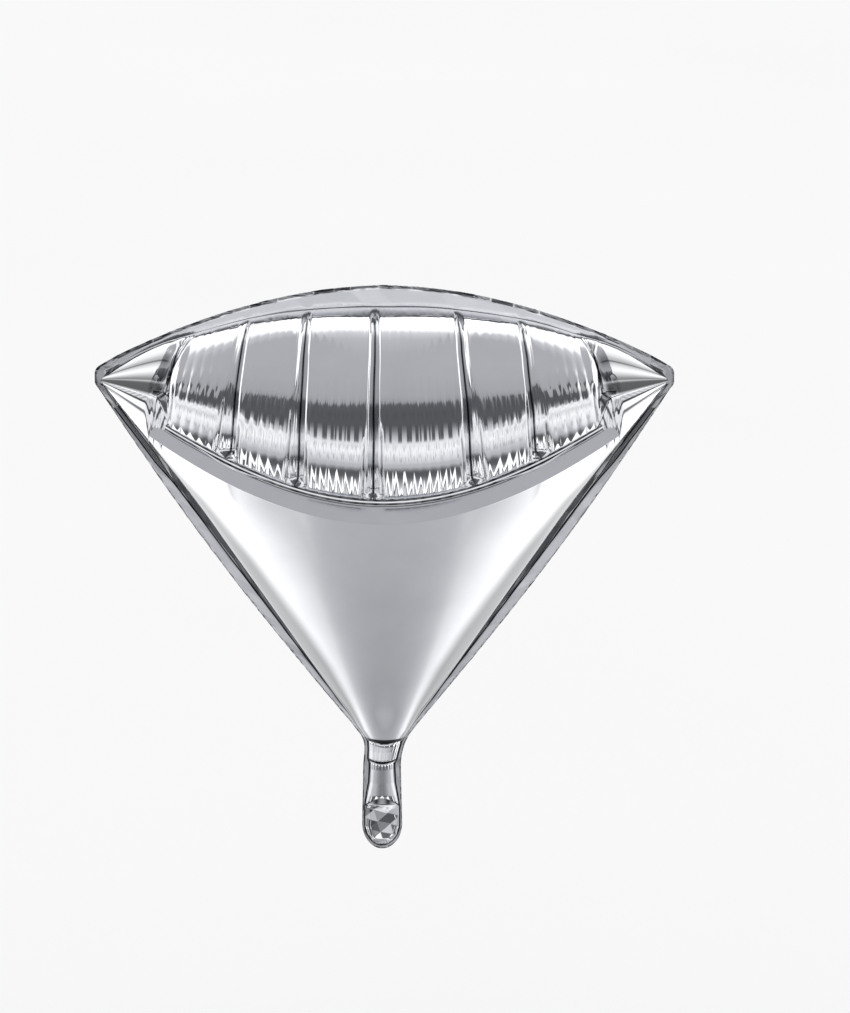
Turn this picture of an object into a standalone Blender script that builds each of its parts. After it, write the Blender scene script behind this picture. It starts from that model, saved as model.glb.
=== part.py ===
"""A diamond foil balloon, blown up: four films and the heat-sealed seams that join them, with a fill tail.

Metres, +Z up. The front faces -Y. The origin is the middle of the throat, where the tail is tied.
Every film is modelled as its inner surface, and its thickness is added outwards.
"""

import math

import bmesh
import bpy
from mathutils import Vector

# Film and gaps
FILM = 0.0015
CLEAR = 0.0003
SEAM_HALF = FILM / 2
FILM_EDGE_Y = SEAM_HALF + CLEAR
SEAM_TUCK = 0.0012

# Rows of a sealed edge: its thin root between the films, the end of its taper clear of them, and its rim
ROOT, FLAT, RIM = 0, 1, 2
ROWS_OUT = (ROOT, FLAT, RIM)
ROWS_IN = (RIM, FLAT, ROOT)
TAPER = 0.003
ROOT_SHARE = 0.5

# Overall size
CORNER_X = 0.2935
CORNER_Z = 0.402
FILM_END_X = 0.276
TIP_X = 0.300
TAB_RADIUS = 0.0095
TAB_RAISE = 0.003
TAB_SHOULDER = 0.0075
TAB_FROM_TURN = math.radians(-50)
TAB_TO_TURN = math.radians(60)
TAB_STEPS = 10
TAB_NOTCH = 0.001
FOLD_END_X = 0.2925
FOLD_END_HALF_Y = 0.001
FOLD_END_Z = (CORNER_Z - 0.002, CORNER_Z + 0.004)
FOLD_ROWS = 6

# Top seam, in the plane Y = 0
TOP_SEAM_Z = 0.4815
TOP_SEAM_FALL = 0.0685
TOP_SEAM_POWER = 2.3
TOP_OUTER_Z = 0.5054
TOP_OUTER_FALL = 0.0797
TOP_OUTER_POWER = 1.85
TOP_HALF = 0.2885

# Front seam, an arc in plan that hangs lower in the middle; the back seam mirrors it
GIRDLE_REACH = 0.1625
GIRDLE_SAG = 0.0905
GIRDLE_SAG_POWER = 1.15
GIRDLE_GAP = 0.00035
GIRDLE_FLANGE = 0.0255
GIRDLE_FLANGE_END = 0.006
GIRDLE_FLANGE_TILT = math.radians(45)
GIRDLE_FLANGE_END_TILT = math.radians(5)
GIRDLE_FLANGE_ROOT = 0.0021
GIRDLE_FLANGE_END_X = 0.268

# Cross profile of the upper films: the angle from the chord at each seam, and the handles of its curve
GIRDLE_ANGLE = math.radians(70)
TOP_ANGLE = math.radians(48)
PROFILE_HANDLE = 0.42

# Pinch lines of the upper films, left to right: X on the top seam, X on the front seam
CREASES = (
    (-0.202, -0.231),
    (-0.140, -0.161),
    (-0.078, -0.090),
    (-0.009, -0.011),
    (0.074, 0.093),
    (0.140, 0.160),
    (0.205, 0.231),
)
CREASE_DEPTH = 0.009
CREASE_SHARPNESS = 12
LOBE_STEPS = (0.0, 0.03, 0.08, 0.3, 0.7, 0.92, 0.97)
UPPER_ROWS = 12

# Side seams, from the throat up to the corners, in the plane Y = 0
NECK_Z = 0.025
NECK_OUTER_X = 0.0196
NECK_ROUNDING = 0.004
SIDE_START_X = 0.0224
SIDE_SLOPE = 0.735
SIDE_BOW = 0.0105
SIDE_FLANGE = 0.0048
SIDE_FLANGE_MORE = 0.0094
SIDE_FLANGE_FROM_Z = 0.030
SIDE_END_Z = 0.3765
LOWER_COLUMNS = 28
LOWER_ROWS = 12

# Tail, from its top down: Z, half the width between its seams, half the depth of the tube
TAIL_SECTIONS = (
    (0.0238, 0.0190, 0.0138),
    (0.0180, 0.0168, 0.0118),
    (0.0120, 0.0157, 0.0124),
    (0.0030, 0.0148, 0.0102),
    (-0.0065, 0.0148, 0.0108),
    (-0.0210, 0.0151, 0.0104),
    (-0.0335, 0.0165, 0.0072),
    (-0.0397, 0.0173, 0.0036),
    (-0.0438, 0.0176, 0.0012),
    (-0.0575, 0.0178, 0.0008),
    (-0.0710, 0.0176, 0.0006),
    (-0.0810, 0.0147, 0.0005),
    (-0.0870, 0.0102, 0.0004),
    (-0.0901, 0.0057, 0.0004),
)
TAIL_COLUMNS = 12
TAIL_ROUND_Z = -0.068
TAIL_OUTER_X = 0.021
TAIL_OUTER_DROP = 0.0275
TAIL_INNER_DROP = 0.0217
TAIL_LEG_STEPS = 8
TAIL_ROUND_STEPS = 14

# Reach of the boxes that trim the lower films' ends
CUTTER_REACH = 0.4
CUTTER_TOP_Z = 1.0

# Colours: the film's mirror face, and the duller heat-sealed edge
FOIL_COLOUR = (0.78, 0.79, 0.81, 1.0)
SEAM_COLOUR = (0.62, 0.63, 0.65, 1.0)


def lerp(a, b, share):
    return a + (b - a) * share


def collection(name):
    """A new collection in the scene."""
    made = bpy.data.collections.new(name)
    bpy.context.scene.collection.children.link(made)
    return made


def finish(name, colour, roughness):
    """A metallised film, as a Principled material."""
    made = bpy.data.materials.new(name)
    made.use_nodes = True
    shader = made.node_tree.nodes["Principled BSDF"]
    shader.inputs["Base Color"].default_value = colour
    shader.inputs["Metallic"].default_value = 1.0
    shader.inputs["Roughness"].default_value = roughness
    return made


def own(piece, name, group, material):
    """Names the piece and puts it in its collection with its material."""
    piece.name = name
    piece.data.name = name
    for held in list(piece.users_collection):
        held.objects.unlink(piece)
    group.objects.link(piece)
    piece.data.materials.clear()
    piece.data.materials.append(material)
    piece.data.shade_smooth()
    piece.data.set_sharp_from_angle(angle=math.radians(40))
    return piece


def sheet(across, along, place):
    """A grid whose vertex at column i, row j is put at place(across[i], along[j])."""
    bpy.ops.mesh.primitive_grid_add(
        x_subdivisions=len(across) - 1, y_subdivisions=len(along) - 1, size=2
    )
    piece = bpy.context.object
    for vertex in piece.data.vertices:
        column = round((vertex.co.x + 1) / 2 * (len(across) - 1))
        row = round((vertex.co.y + 1) / 2 * (len(along) - 1))
        vertex.co = place(across[column], along[row])
    return piece


def thicken(piece, offset):
    """Film thickness: offset 1 is outwards, 0 is half on each side."""
    wall = piece.modifiers.new("Film", "SOLIDIFY")
    wall.thickness = FILM
    wall.offset = offset
    wall.use_even_offset = True
    return piece


def weld(piece, rows):
    """Film thickness half on each side of a sealed edge, less at its root, and even past its taper."""
    count = len(piece.data.vertices) // len(rows)
    root = rows.index(ROOT) * count
    thickness = piece.vertex_groups.new(name="Thickness")
    thickness.add(list(range(len(piece.data.vertices))), 1.0, "REPLACE")
    thickness.add(list(range(root, root + count)), ROOT_SHARE, "REPLACE")
    thicken(piece, 0).modifiers["Film"].vertex_group = thickness.name
    return piece


def across(inner, outer, row):
    """A place across a sealed edge that runs from inner to outer."""
    taper = TAPER if outer > inner else -TAPER
    return (inner, inner + taper, outer)[row]


def turn_to_back(piece):
    """Mirrors an open front surface in Y, so that it becomes the back one, and keeps its faces outwards."""
    for vertex in piece.data.vertices:
        vertex.co.y = -vertex.co.y
    piece.data.flip_normals()
    return piece


# Seam lines


def top_seam(x):
    """The line where the two upper films part, as a height."""
    return TOP_SEAM_Z - TOP_SEAM_FALL * abs(x / TOP_HALF) ** TOP_SEAM_POWER


def top_outer(x):
    """The outer edge of the top seam, as a height."""
    return TOP_OUTER_Z - TOP_OUTER_FALL * abs(x / TOP_HALF) ** TOP_OUTER_POWER


def girdle_circle():
    """Radius and centre of the front seam in plan."""
    radius = (CORNER_X**2 + GIRDLE_REACH**2) / (2 * GIRDLE_REACH)
    return radius, radius - GIRDLE_REACH


def girdle(x):
    """A point of the front seam."""
    radius, centre = girdle_circle()
    reach = math.sqrt(radius**2 - x**2) - centre
    rise = math.cos(math.pi / 2 * min(1.0, abs(x / CORNER_X)))
    return Vector((x, -reach, CORNER_Z - GIRDLE_SAG * rise**GIRDLE_SAG_POWER))


def side_outer(z):
    """Half the width at the outer edge of the side seams."""
    line = SIDE_START_X + SIDE_SLOPE * (z - NECK_Z)
    rounded = NECK_ROUNDING * math.log1p(math.exp((line - NECK_OUTER_X) / NECK_ROUNDING))
    share = min(1.0, max(0.0, (z - NECK_Z) / (CORNER_Z - NECK_Z)))
    return NECK_OUTER_X + rounded + SIDE_BOW * math.sin(math.pi * share)


def side_inner(z):
    """Half the width at the line where the two lower films part."""
    share = (z - SIDE_FLANGE_FROM_Z) / (CORNER_Z - SIDE_FLANGE_FROM_Z)
    share = min(1.0, max(0.0, share))
    return side_outer(z) - SIDE_FLANGE - SIDE_FLANGE_MORE * math.sin(math.pi * share)


# Upper films


def profile(low, high, share):
    """A point of the upper film's cross profile, from the front seam (share 0) to the top seam (share 1)."""
    chord = Vector((0, high.y - low.y, high.z - low.z))
    length = chord.length
    slope = math.atan2(chord.z, chord.y)
    leave = slope + GIRDLE_ANGLE
    arrive = slope - TOP_ANGLE
    handle = PROFILE_HANDLE * length
    low_handle = low + handle * Vector((0, math.cos(leave), math.sin(leave)))
    high_handle = high - handle * Vector((0, math.cos(arrive), math.sin(arrive)))
    rest = 1 - share
    return (
        rest**3 * low
        + 3 * rest**2 * share * low_handle
        + 3 * rest * share**2 * high_handle
        + share**3 * high
    )


def upper_stations():
    """Stations along the upper film: X on the top seam, X on the front seam, and depth in a pinch line."""
    ends = ((-FILM_END_X, -FILM_END_X),) + CREASES + ((FILM_END_X, FILM_END_X),)
    last_lobe = len(ends) - 2
    stations = []
    for lobe, (start, stop) in enumerate(zip(ends, ends[1:])):
        for step in LOBE_STEPS:
            at_start = lobe > 0 and step < 0.5
            at_stop = lobe < last_lobe and step > 0.5
            depth = abs(2 * step - 1) ** CREASE_SHARPNESS if at_start or at_stop else 0.0
            stations.append((lerp(start[0], stop[0], step), lerp(start[1], stop[1], step), depth))
    stations.append((FILM_END_X, FILM_END_X, 0.0))
    return stations


def upper_point(station, share):
    """A point of the upper film, sunk where a pinch line runs."""
    top_x, girdle_x, depth = station
    low = girdle(girdle_x) + Vector((0, 0, GIRDLE_GAP))
    high = Vector((top_x, -FILM_EDGE_Y - CLEAR / 2, top_seam(top_x)))
    point = profile(low, high, share)
    point.x = lerp(low.x, high.x, share)
    inwards = Vector((0, high.z - low.z, low.y - high.y)).normalized()
    return point + inwards * CREASE_DEPTH * depth * math.sin(math.pi * share) ** 0.7


def upper_panel(name, group, material, back):
    """One upper film: a lobed shell from the front (or back) seam up to the top seam."""
    shares = [row / UPPER_ROWS for row in range(UPPER_ROWS + 1)]
    piece = sheet(upper_stations(), shares, upper_point)
    if back:
        turn_to_back(piece)
    return own(thicken(piece, 1), name, group, material)


# Lower films


def lower_point(turn, share):
    """A point of the lower film: turn runs -1 to 1 from left to right, share 0 to 1 from the throat up."""
    radius, centre = girdle_circle()
    plan = turn * math.asin(CORNER_X / radius)
    high = girdle(radius * math.sin(plan))
    neck_turn = turn * math.pi / 2
    top_of_tail = TAIL_SECTIONS[0]
    low = Vector(
        (
            top_of_tail[1] * math.sin(neck_turn),
            -FILM_EDGE_Y - top_of_tail[2] * math.cos(neck_turn),
            NECK_Z,
        )
    )
    high -= (high - low).normalized() * GIRDLE_GAP
    point = low.lerp(high, share)
    straight = lerp(top_of_tail[1], CORNER_X, (point.z - NECK_Z) / (CORNER_Z - NECK_Z))
    point.x += math.copysign(abs(turn) ** 3, turn) * (side_inner(point.z) - straight)
    point.y = min(point.y, -FILM_EDGE_Y)
    return point


def box_cutter(name, group, low, high):
    """A hidden box that a Boolean cuts away."""
    middle = [lerp(a, b, 0.5) for a, b in zip(low, high)]
    bpy.ops.mesh.primitive_cube_add(size=1, location=middle)
    piece = bpy.context.object
    piece.name = name
    piece.scale = [b - a for a, b in zip(low, high)]
    piece.hide_render = True
    piece.display_type = "WIRE"
    for held in list(piece.users_collection):
        held.objects.unlink(piece)
    group.objects.link(piece)
    return piece


def cut(piece, cutter):
    """Takes the cutter's shape away from the piece."""
    modifier = piece.modifiers.new(f"Cut {cutter.name}", "BOOLEAN")
    modifier.operation = "DIFFERENCE"
    modifier.object = cutter


def lower_panel(name, group, material, cutters, back):
    """One lower film: a shell from the throat up to the front (or back) seam, cut short of the corners."""
    turns = [math.sin(math.pi / 2 * (2 * i / LOWER_COLUMNS - 1)) for i in range(LOWER_COLUMNS + 1)]
    shares = [(row / LOWER_ROWS) ** 1.5 for row in range(LOWER_ROWS + 1)]
    piece = sheet(turns, shares, lower_point)
    if back:
        turn_to_back(piece)
    thicken(piece, 1)
    for cutter in cutters:
        cut(piece, cutter)
    return own(piece, name, group, material)


# Seams: the sealed edges that stand out from the films


def top_strip(group, material):
    """The sealed edge above the upper films."""
    def place(x, row):
        return Vector((x, 0, across(top_seam(x) - SEAM_TUCK, top_outer(x), row)))

    half = FILM_END_X
    columns = [half * (i / 20 - 1) for i in range(41)]
    return own(weld(sheet(columns, ROWS_OUT, place), ROWS_OUT), "top_seam", group, material)


def girdle_strip(name, group, material, back):
    """The sealed edge that hangs outwards from the front (or back) seam, widest in the middle."""
    radius, centre = girdle_circle()

    def place(x, row):
        root = girdle(x)
        away = Vector((x, root.y - centre, 0)).normalized()
        middle = math.cos(math.pi / 2 * x / CORNER_X)
        tilt = lerp(GIRDLE_FLANGE_END_TILT, GIRDLE_FLANGE_TILT, middle)
        out = away * math.cos(tilt) - Vector((0, 0, math.sin(tilt)))
        width = lerp(GIRDLE_FLANGE_END, GIRDLE_FLANGE, middle)
        return root + out * across(GIRDLE_FLANGE_ROOT, GIRDLE_FLANGE_ROOT + width, row)

    columns = [GIRDLE_FLANGE_END_X * (i / 20 - 1) for i in range(41)]
    piece = sheet(columns, ROWS_IN, place)
    if back:
        turn_to_back(piece)
    return own(weld(piece, ROWS_IN), name, group, material)


def side_strip(name, group, material, side):
    """The sealed edge between a corner and the throat; side is -1 for left, 1 for right."""
    def place(z, row):
        return Vector((side * across(side_inner(z) - SEAM_TUCK, side_outer(z), row), 0, z))

    columns = [lerp(NECK_Z, SIDE_END_Z, i / 24) for i in range(25)]
    return own(weld(sheet(columns, ROWS_OUT, place), ROWS_OUT), name, group, material)


def corner_section():
    """The outline of the four films where they end, near a corner, seen along X."""
    high = Vector((0, -FILM_EDGE_Y, top_seam(FILM_END_X)))
    low = girdle(FILM_END_X)
    upper = [profile(low, high, step / FOLD_ROWS) for step in range(FOLD_ROWS + 1)]
    throat_x = TAIL_SECTIONS[0][1]
    side_z = lerp(NECK_Z, CORNER_Z, (FILM_END_X - throat_x) / (CORNER_X - throat_x))
    front = [(point.y, point.z) for point in upper] + [(-FILM_EDGE_Y, side_z)]
    return front + [(-y, z) for y, z in front]


def hull(points):
    """A mesh object of the convex hull of some points."""
    mesh = bpy.data.meshes.new("hull")
    shape = bmesh.new()
    for point in points:
        shape.verts.new(point)
    made = bmesh.ops.convex_hull(shape, input=shape.verts)
    unused = [item for item in made["geom_interior"] if isinstance(item, bmesh.types.BMVert)]
    bmesh.ops.delete(shape, geom=unused, context="VERTS")
    shape.to_mesh(mesh)
    shape.free()
    piece = bpy.data.objects.new("hull", mesh)
    bpy.context.scene.collection.objects.link(piece)
    return piece


def join_with(piece, other):
    """Unites the other object's shape with the piece, and keeps the other as a hidden helper."""
    modifier = piece.modifiers.new("Join", "BOOLEAN")
    modifier.operation = "UNION"
    modifier.object = other
    other.hide_render = True
    other.display_type = "WIRE"


def corner_tab(name, group, helpers, material, side):
    """A corner: the folded point of the four films, and the flat round tab that seals them."""
    start = FILM_END_X + CLEAR
    apex = [(FOLD_END_X, y, z) for y in (-FOLD_END_HALF_Y, FOLD_END_HALF_Y) for z in FOLD_END_Z]
    point = [(start, y, z) for y, z in corner_section()] + apex
    outline = []
    for step in range(TAB_STEPS + 1):
        turn = lerp(TAB_FROM_TURN, TAB_TO_TURN, step / TAB_STEPS)
        centre_z = CORNER_Z + TAB_RAISE + (TAB_SHOULDER if turn > 0 else 0)
        tab_x = TIP_X - TAB_RADIUS + TAB_RADIUS * math.cos(turn)
        outline.append((tab_x, centre_z + TAB_RADIUS * math.sin(turn)))
    low_z = SIDE_END_Z + CLEAR
    outline += [
        (start, top_outer(start)),
        (start, top_seam(start) - SEAM_TUCK),
        (start, low_z + 2 * TAB_NOTCH),
        (side_inner(low_z) + TAB_NOTCH, low_z),
        (side_outer(low_z), low_z),
    ]
    plate = [(x, y, z) for x, z in outline for y in (-SEAM_HALF, SEAM_HALF)]
    piece = hull([(side * x, y, z) for x, y, z in point])
    flat = hull([(side * x, y, z) for x, y, z in plate])
    own(flat, f"{name} plate", helpers, material)
    join_with(piece, flat)
    return own(piece, name, group, material)


# Tail


def tail_section(z):
    """Half the width and half the depth of the tail at a height, from its sections."""
    for upper, lower in zip(TAIL_SECTIONS, TAIL_SECTIONS[1:]):
        if z >= lower[0]:
            share = (upper[0] - z) / (upper[0] - lower[0])
            return lerp(upper[1], lower[1], share), lerp(upper[2], lower[2], share)
    return TAIL_SECTIONS[-1][1:]


def tail_point(turn, z):
    """A point of the tail's front film."""
    half_width, half_depth = tail_section(z)
    angle = turn * math.pi / 2
    return Vector((half_width * math.sin(angle), -FILM_EDGE_Y - half_depth * math.cos(angle), z))


def tail_film(name, group, material, back):
    """One face of the tail: throat, blown-up tube and flat end flap."""
    turns = [2 * i / TAIL_COLUMNS - 1 for i in range(TAIL_COLUMNS + 1)]
    heights = [section[0] for section in reversed(TAIL_SECTIONS)]
    piece = sheet(turns, heights, tail_point)
    if back:
        turn_to_back(piece)
    return own(thicken(piece, 1), name, group, material)


def tail_strip(group, material):
    """The sealed edge of the tail, down one side, round the end and up the other."""
    legs = [lerp(TAIL_SECTIONS[0][0], TAIL_ROUND_Z, i / TAIL_LEG_STEPS) for i in range(TAIL_LEG_STEPS)]
    turns = [math.pi * (1 + i / TAIL_ROUND_STEPS) for i in range(TAIL_ROUND_STEPS + 1)]
    stations = [(-1, z, None) for z in legs]
    stations += [(0, TAIL_ROUND_Z, turn) for turn in turns]
    stations += [(1, z, None) for z in reversed(legs)]

    def place(station, row):
        side, z, turn = station
        inner_x = tail_section(z)[0] - SEAM_TUCK
        if side:
            swell = min(1.0, max(0.0, -z / abs(TAIL_ROUND_Z)))
            outer_x = lerp(side_outer(z), TAIL_OUTER_X, swell)
            return Vector((side * across(inner_x, outer_x, row), 0, z))
        half_width = across(inner_x, TAIL_OUTER_X, row)
        drop = across(TAIL_INNER_DROP, TAIL_OUTER_DROP, row)
        return Vector((half_width * math.cos(turn), 0, z + drop * math.sin(turn)))

    return own(weld(sheet(stations, ROWS_IN, place), ROWS_IN), "tail_seam", group, material)


def main():
    """Builds the balloon."""
    for old in list(bpy.data.objects):
        bpy.data.objects.remove(old)
    balloon = collection("Diamond foil balloon")
    helpers = collection("Cutters")
    foil = finish("Mirror foil", FOIL_COLOUR, 0.08)
    sealed = finish("Sealed foil edge", SEAM_COLOUR, 0.22)

    reach = CUTTER_REACH
    top = CUTTER_TOP_Z
    ends = [
        box_cutter("Right end", helpers, (FILM_END_X, -reach, 0), (reach, reach, top)),
        box_cutter("Left end", helpers, (-reach, -reach, 0), (-FILM_END_X, reach, top)),
    ]
    for face, back in (("front", False), ("back", True)):
        upper_panel(f"upper_{face}_panel", balloon, foil, back)
        lower_panel(f"lower_{face}_panel", balloon, foil, ends, back)
        girdle_strip(f"{face}_seam", balloon, sealed, back)
        tail_film(f"tail_{face}_film", balloon, foil, back)
    top_strip(balloon, sealed)
    for word, side in (("left", -1), ("right", 1)):
        side_strip(f"{word}_side_seam", balloon, sealed, side)
        corner_tab(f"{word}_corner_tab", balloon, helpers, sealed, side)
    tail_strip(balloon, sealed)


main()
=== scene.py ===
"""The looks of a diamond foil balloon: mirror film blown up into a lobed crown over a tapering body.

Metres, +Z up. The front faces -Y, and the origin is the middle of the throat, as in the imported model.
"""

from __future__ import annotations

import logging
import math
from dataclasses import dataclass
from enum import Enum
from typing import Callable

import bpy
import numpy as np
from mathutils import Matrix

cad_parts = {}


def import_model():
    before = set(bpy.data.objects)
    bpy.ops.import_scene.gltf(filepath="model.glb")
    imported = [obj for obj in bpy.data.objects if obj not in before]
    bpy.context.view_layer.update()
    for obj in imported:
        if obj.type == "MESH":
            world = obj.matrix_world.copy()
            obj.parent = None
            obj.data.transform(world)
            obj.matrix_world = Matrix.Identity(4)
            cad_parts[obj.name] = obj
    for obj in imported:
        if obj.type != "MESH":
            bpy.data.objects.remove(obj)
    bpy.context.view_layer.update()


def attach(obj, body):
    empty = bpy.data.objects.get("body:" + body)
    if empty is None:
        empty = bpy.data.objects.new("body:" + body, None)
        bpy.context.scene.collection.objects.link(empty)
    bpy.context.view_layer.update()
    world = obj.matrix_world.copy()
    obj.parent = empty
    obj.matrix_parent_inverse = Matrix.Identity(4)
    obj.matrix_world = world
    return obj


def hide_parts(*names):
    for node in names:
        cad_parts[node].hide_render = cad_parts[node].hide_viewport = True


MM = 0.001
BODY = "root"
SHARP_FOLD = math.radians(50)
LOG = logging.getLogger("balloon")
Colour = tuple[float, float, float, float]
Array = np.ndarray
Tree = bpy.types.NodeTree
Socket = bpy.types.NodeSocket
Piece = bpy.types.Object


class Face(Enum):
    """Which way a film looks."""

    FRONT = "front"
    BACK = "back"


class Side(Enum):
    """Left or right, as the front is seen; the value is the sign of X."""

    LEFT = -1
    RIGHT = 1

    @property
    def word(self) -> str:
        """The side's name in lower case."""
        return self.name.lower()


# Small tools


def linear(hex_colour: str) -> Colour:
    """Turns an sRGB hex value to a linear colour.

    Args:
        hex_colour: Six hex digits after a hash mark.

    Returns:
        Red, green, blue and alpha 1.
    """
    parts = [int(hex_colour[i : i + 2], 16) / 255 for i in (1, 3, 5)]
    red, green, blue = (p / 12.92 if p <= 0.04045 else ((p + 0.055) / 1.055) ** 2.4 for p in parts)
    return red, green, blue, 1.0


def add_node(tree: Tree, kind: str, inputs: dict | None = None, **settings: object) -> bpy.types.Node:
    """Adds one node with its settings and links.

    Args:
        tree: The node tree that gets it.
        kind: The node's type.
        inputs: For an input's name or number, the output socket to link to it, or its value.
        **settings: The node's own attributes.

    Returns:
        The node.
    """
    node = tree.nodes.new(kind)
    for name, value in settings.items():
        setattr(node, name, value)
    for key, value in (inputs or {}).items():
        if isinstance(value, Socket):
            tree.links.new(value, node.inputs[key])
        else:
            node.inputs[key].default_value = value
    return node


@dataclass(frozen=True)
class Value:
    """A number in a node tree, which sums like a plain one."""

    socket: Socket

    def sum(self, operation: str, *others: Value | float) -> Value:
        """The result of a Math node whose first input is this number.

        Args:
            operation: The node's operation.
            *others: Its other inputs.

        Returns:
            The result.
        """
        values = [self.socket] + [other.socket if isinstance(other, Value) else other for other in others]
        node = add_node(self.socket.id_data, "ShaderNodeMath", dict(enumerate(values)), operation=operation)
        return Value(node.outputs["Value"])

    def __add__(self, other: Value | float) -> Value:
        """This number plus another."""
        return self.sum("ADD", other)

    def __sub__(self, other: Value | float) -> Value:
        """This number minus another."""
        return self.sum("SUBTRACT", other)

    def __mul__(self, other: Value | float) -> Value:
        """This number times another."""
        return self.sum("MULTIPLY", other)

    def __truediv__(self, other: Value | float) -> Value:
        """This number over another."""
        return self.sum("DIVIDE", other)

    def rest(self) -> Value:
        """What is missing to 1."""
        return self * -1.0 + 1.0

    def ease(self, start: float, stop: float) -> Value:
        """Rises smoothly from 0 at start to 1 at stop, which may be the lower of the two.

        Args:
            start: Where it is 0.
            stop: Where it is 1.

        Returns:
            The share.
        """
        tree = self.socket.id_data
        inputs = {"Value": self.socket, "From Min": start, "From Max": stop}
        node = add_node(tree, "ShaderNodeMapRange", inputs, interpolation_type="SMOOTHSTEP")
        return Value(node.outputs["Result"])


def mix(a: Array | float, b: Array | float, share: Array | float) -> Array | float:
    """The value at a share of the way from a to b."""
    return a + (b - a) * share


def ease(value: Array, start: float, stop: float) -> Array:
    """Rises smoothly from 0 at start to 1 at stop, which may be the lower of the two."""
    share = np.clip((value - start) / (stop - start), 0, 1)
    return share * share * (3 - 2 * share)


def zigzag(turns: Array) -> Array:
    """A triangle wave between -1 and 1, with one period for each whole turn."""
    return 4 * np.abs(turns - np.floor(turns + 0.5)) - 1


def drift(place: Array, seed: int) -> Array:
    """Smooth wandering between -1 and 1, with a new value at each whole place.

    Args:
        place: Where.
        seed: Which wandering.

    Returns:
        The value at each place.
    """
    table = np.random.default_rng(seed).uniform(-1, 1, 256)
    cell = np.floor(place).astype(int)
    part = place - cell
    return mix(table[cell % 256], table[(cell + 1) % 256], part * part * (3 - 2 * part))


def swell(u: Array, v: Array, seed: int) -> Array:
    """Smooth hills and hollows between -1 and 1 over a plane, one to each unit square."""
    return lattice(u, v, seed, smooth=True)


def facets(u: Array, v: Array, seed: int) -> Array:
    """Flat triangles that meet at sharp creases, as in crumpled film, between -1 and 1."""
    return lattice(u, v, seed, smooth=False)


def tints(u: Array, v: Array, seed: int) -> Array:
    """One value between 0 and 1 for each triangle of facets.

    Args:
        u: First coordinate of each point.
        v: Second coordinate of each point.
        seed: Which set of values.

    Returns:
        The value of each point's triangle.
    """
    table = np.random.default_rng(seed).uniform(0, 1, (64, 64, 2))
    column, row = np.floor(u).astype(int), np.floor(v).astype(int)
    lower = (u - column > v - row).astype(int)
    return table[column % 64, row % 64, lower] ** 2.2


def lattice(u: Array, v: Array, seed: int, smooth: bool) -> Array:
    """Heights between -1 and 1 at the corners of unit squares, joined smoothly or by flat triangles.

    Args:
        u: First coordinate of each point.
        v: Second coordinate of each point.
        seed: Which set of heights.
        smooth: Whether to round the way between corners.

    Returns:
        The height at each point.
    """
    table = np.random.default_rng(seed).uniform(-1, 1, (64, 64))
    column = np.floor(u).astype(int)
    row = np.floor(v).astype(int)
    across = u - column
    along = v - row
    near = table[column % 64, row % 64]
    right = table[(column + 1) % 64, row % 64]
    above = table[column % 64, (row + 1) % 64]
    far = table[(column + 1) % 64, (row + 1) % 64]
    if smooth:
        across = across * across * (3 - 2 * across)
        along = along * along * (3 - 2 * along)
        return mix(mix(near, right, across), mix(above, far, across), along)
    lower = near + (right - near) * across + (far - right) * along
    upper = near + (far - above) * across + (above - near) * along
    return np.where(across > along, lower, upper)


def stations(start: float, stop: float, coarse: float, dense: Callable[[Array], Array]) -> Array:
    """Places along a line, closer together where detail needs them.

    Args:
        start: The first place.
        stop: The last place.
        coarse: The step where nothing is dense.
        dense: For a place, how many times closer the steps are there, from 1.

    Returns:
        The places, in order.
    """
    fine = np.linspace(start, stop, 4001)
    weight = dense(fine) / coarse
    total = np.concatenate([[0.0], np.cumsum((weight[1:] + weight[:-1]) / 2 * np.diff(fine))])
    return np.interp(np.linspace(0, total[-1], int(total[-1]) + 2), total, fine)


def unit(vectors: Array) -> Array:
    """Each vector at length 1."""
    return vectors / np.maximum(np.linalg.norm(vectors, axis=-1, keepdims=True), 1e-12)


def normals(points: Array) -> Array:
    """The normals of a grid of points whose columns run to the right and whose rows go up.

    Args:
        points: Rows and columns of places.

    Returns:
        Unit vectors.
    """
    across = np.gradient(points, axis=1)
    along = np.gradient(points, axis=0)
    return unit(np.cross(across, along))


def sheet(name: str, points: Array, painted_shade: Array) -> Piece:
    """A grid whose vertex in row j, column i is put at points[j, i].

    Args:
        name: The new object's name.
        points: Rows and columns of places.
        painted_shade: Shade painted on each vertex, from 0 to 1, which darkens the film's material.

    Returns:
        The object.
    """
    rows, columns = points.shape[:2]
    bpy.ops.object.select_all(action="DESELECT")
    bpy.ops.mesh.primitive_grid_add(x_subdivisions=columns - 1, y_subdivisions=rows - 1, size=2)
    piece = bpy.context.object
    piece.name = name
    piece.data.name = name
    flat = np.empty(len(piece.data.vertices) * 3, np.float32)
    piece.data.vertices.foreach_get("co", flat)
    column = np.rint((flat[0::3] + 1) / 2 * (columns - 1)).astype(int)
    row = np.rint((flat[1::3] + 1) / 2 * (rows - 1)).astype(int)
    piece.data.vertices.foreach_set("co", points[row, column].astype(np.float32).ravel())
    # Painted shade: kept as a vertex attribute that darkens the material's colour.
    depth = piece.data.attributes.new("painted_shade", "FLOAT", "POINT")
    depth.data.foreach_set("value", np.clip(painted_shade[row, column], 0, 1).astype(np.float32))
    piece.data.update()
    return piece


def turn_to_back(piece: Piece) -> None:
    """Mirrors an open front surface in Y, and keeps its faces outwards.

    Args:
        piece: The surface.
    """
    bpy.ops.object.mode_set(mode="EDIT")
    bpy.ops.mesh.select_all(action="SELECT")
    bpy.ops.transform.mirror(
        constraint_axis=(False, True, False), orient_type="GLOBAL", center_override=(0, 0, 0)
    )
    bpy.ops.mesh.flip_normals()
    bpy.ops.object.mode_set(mode="OBJECT")


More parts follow.
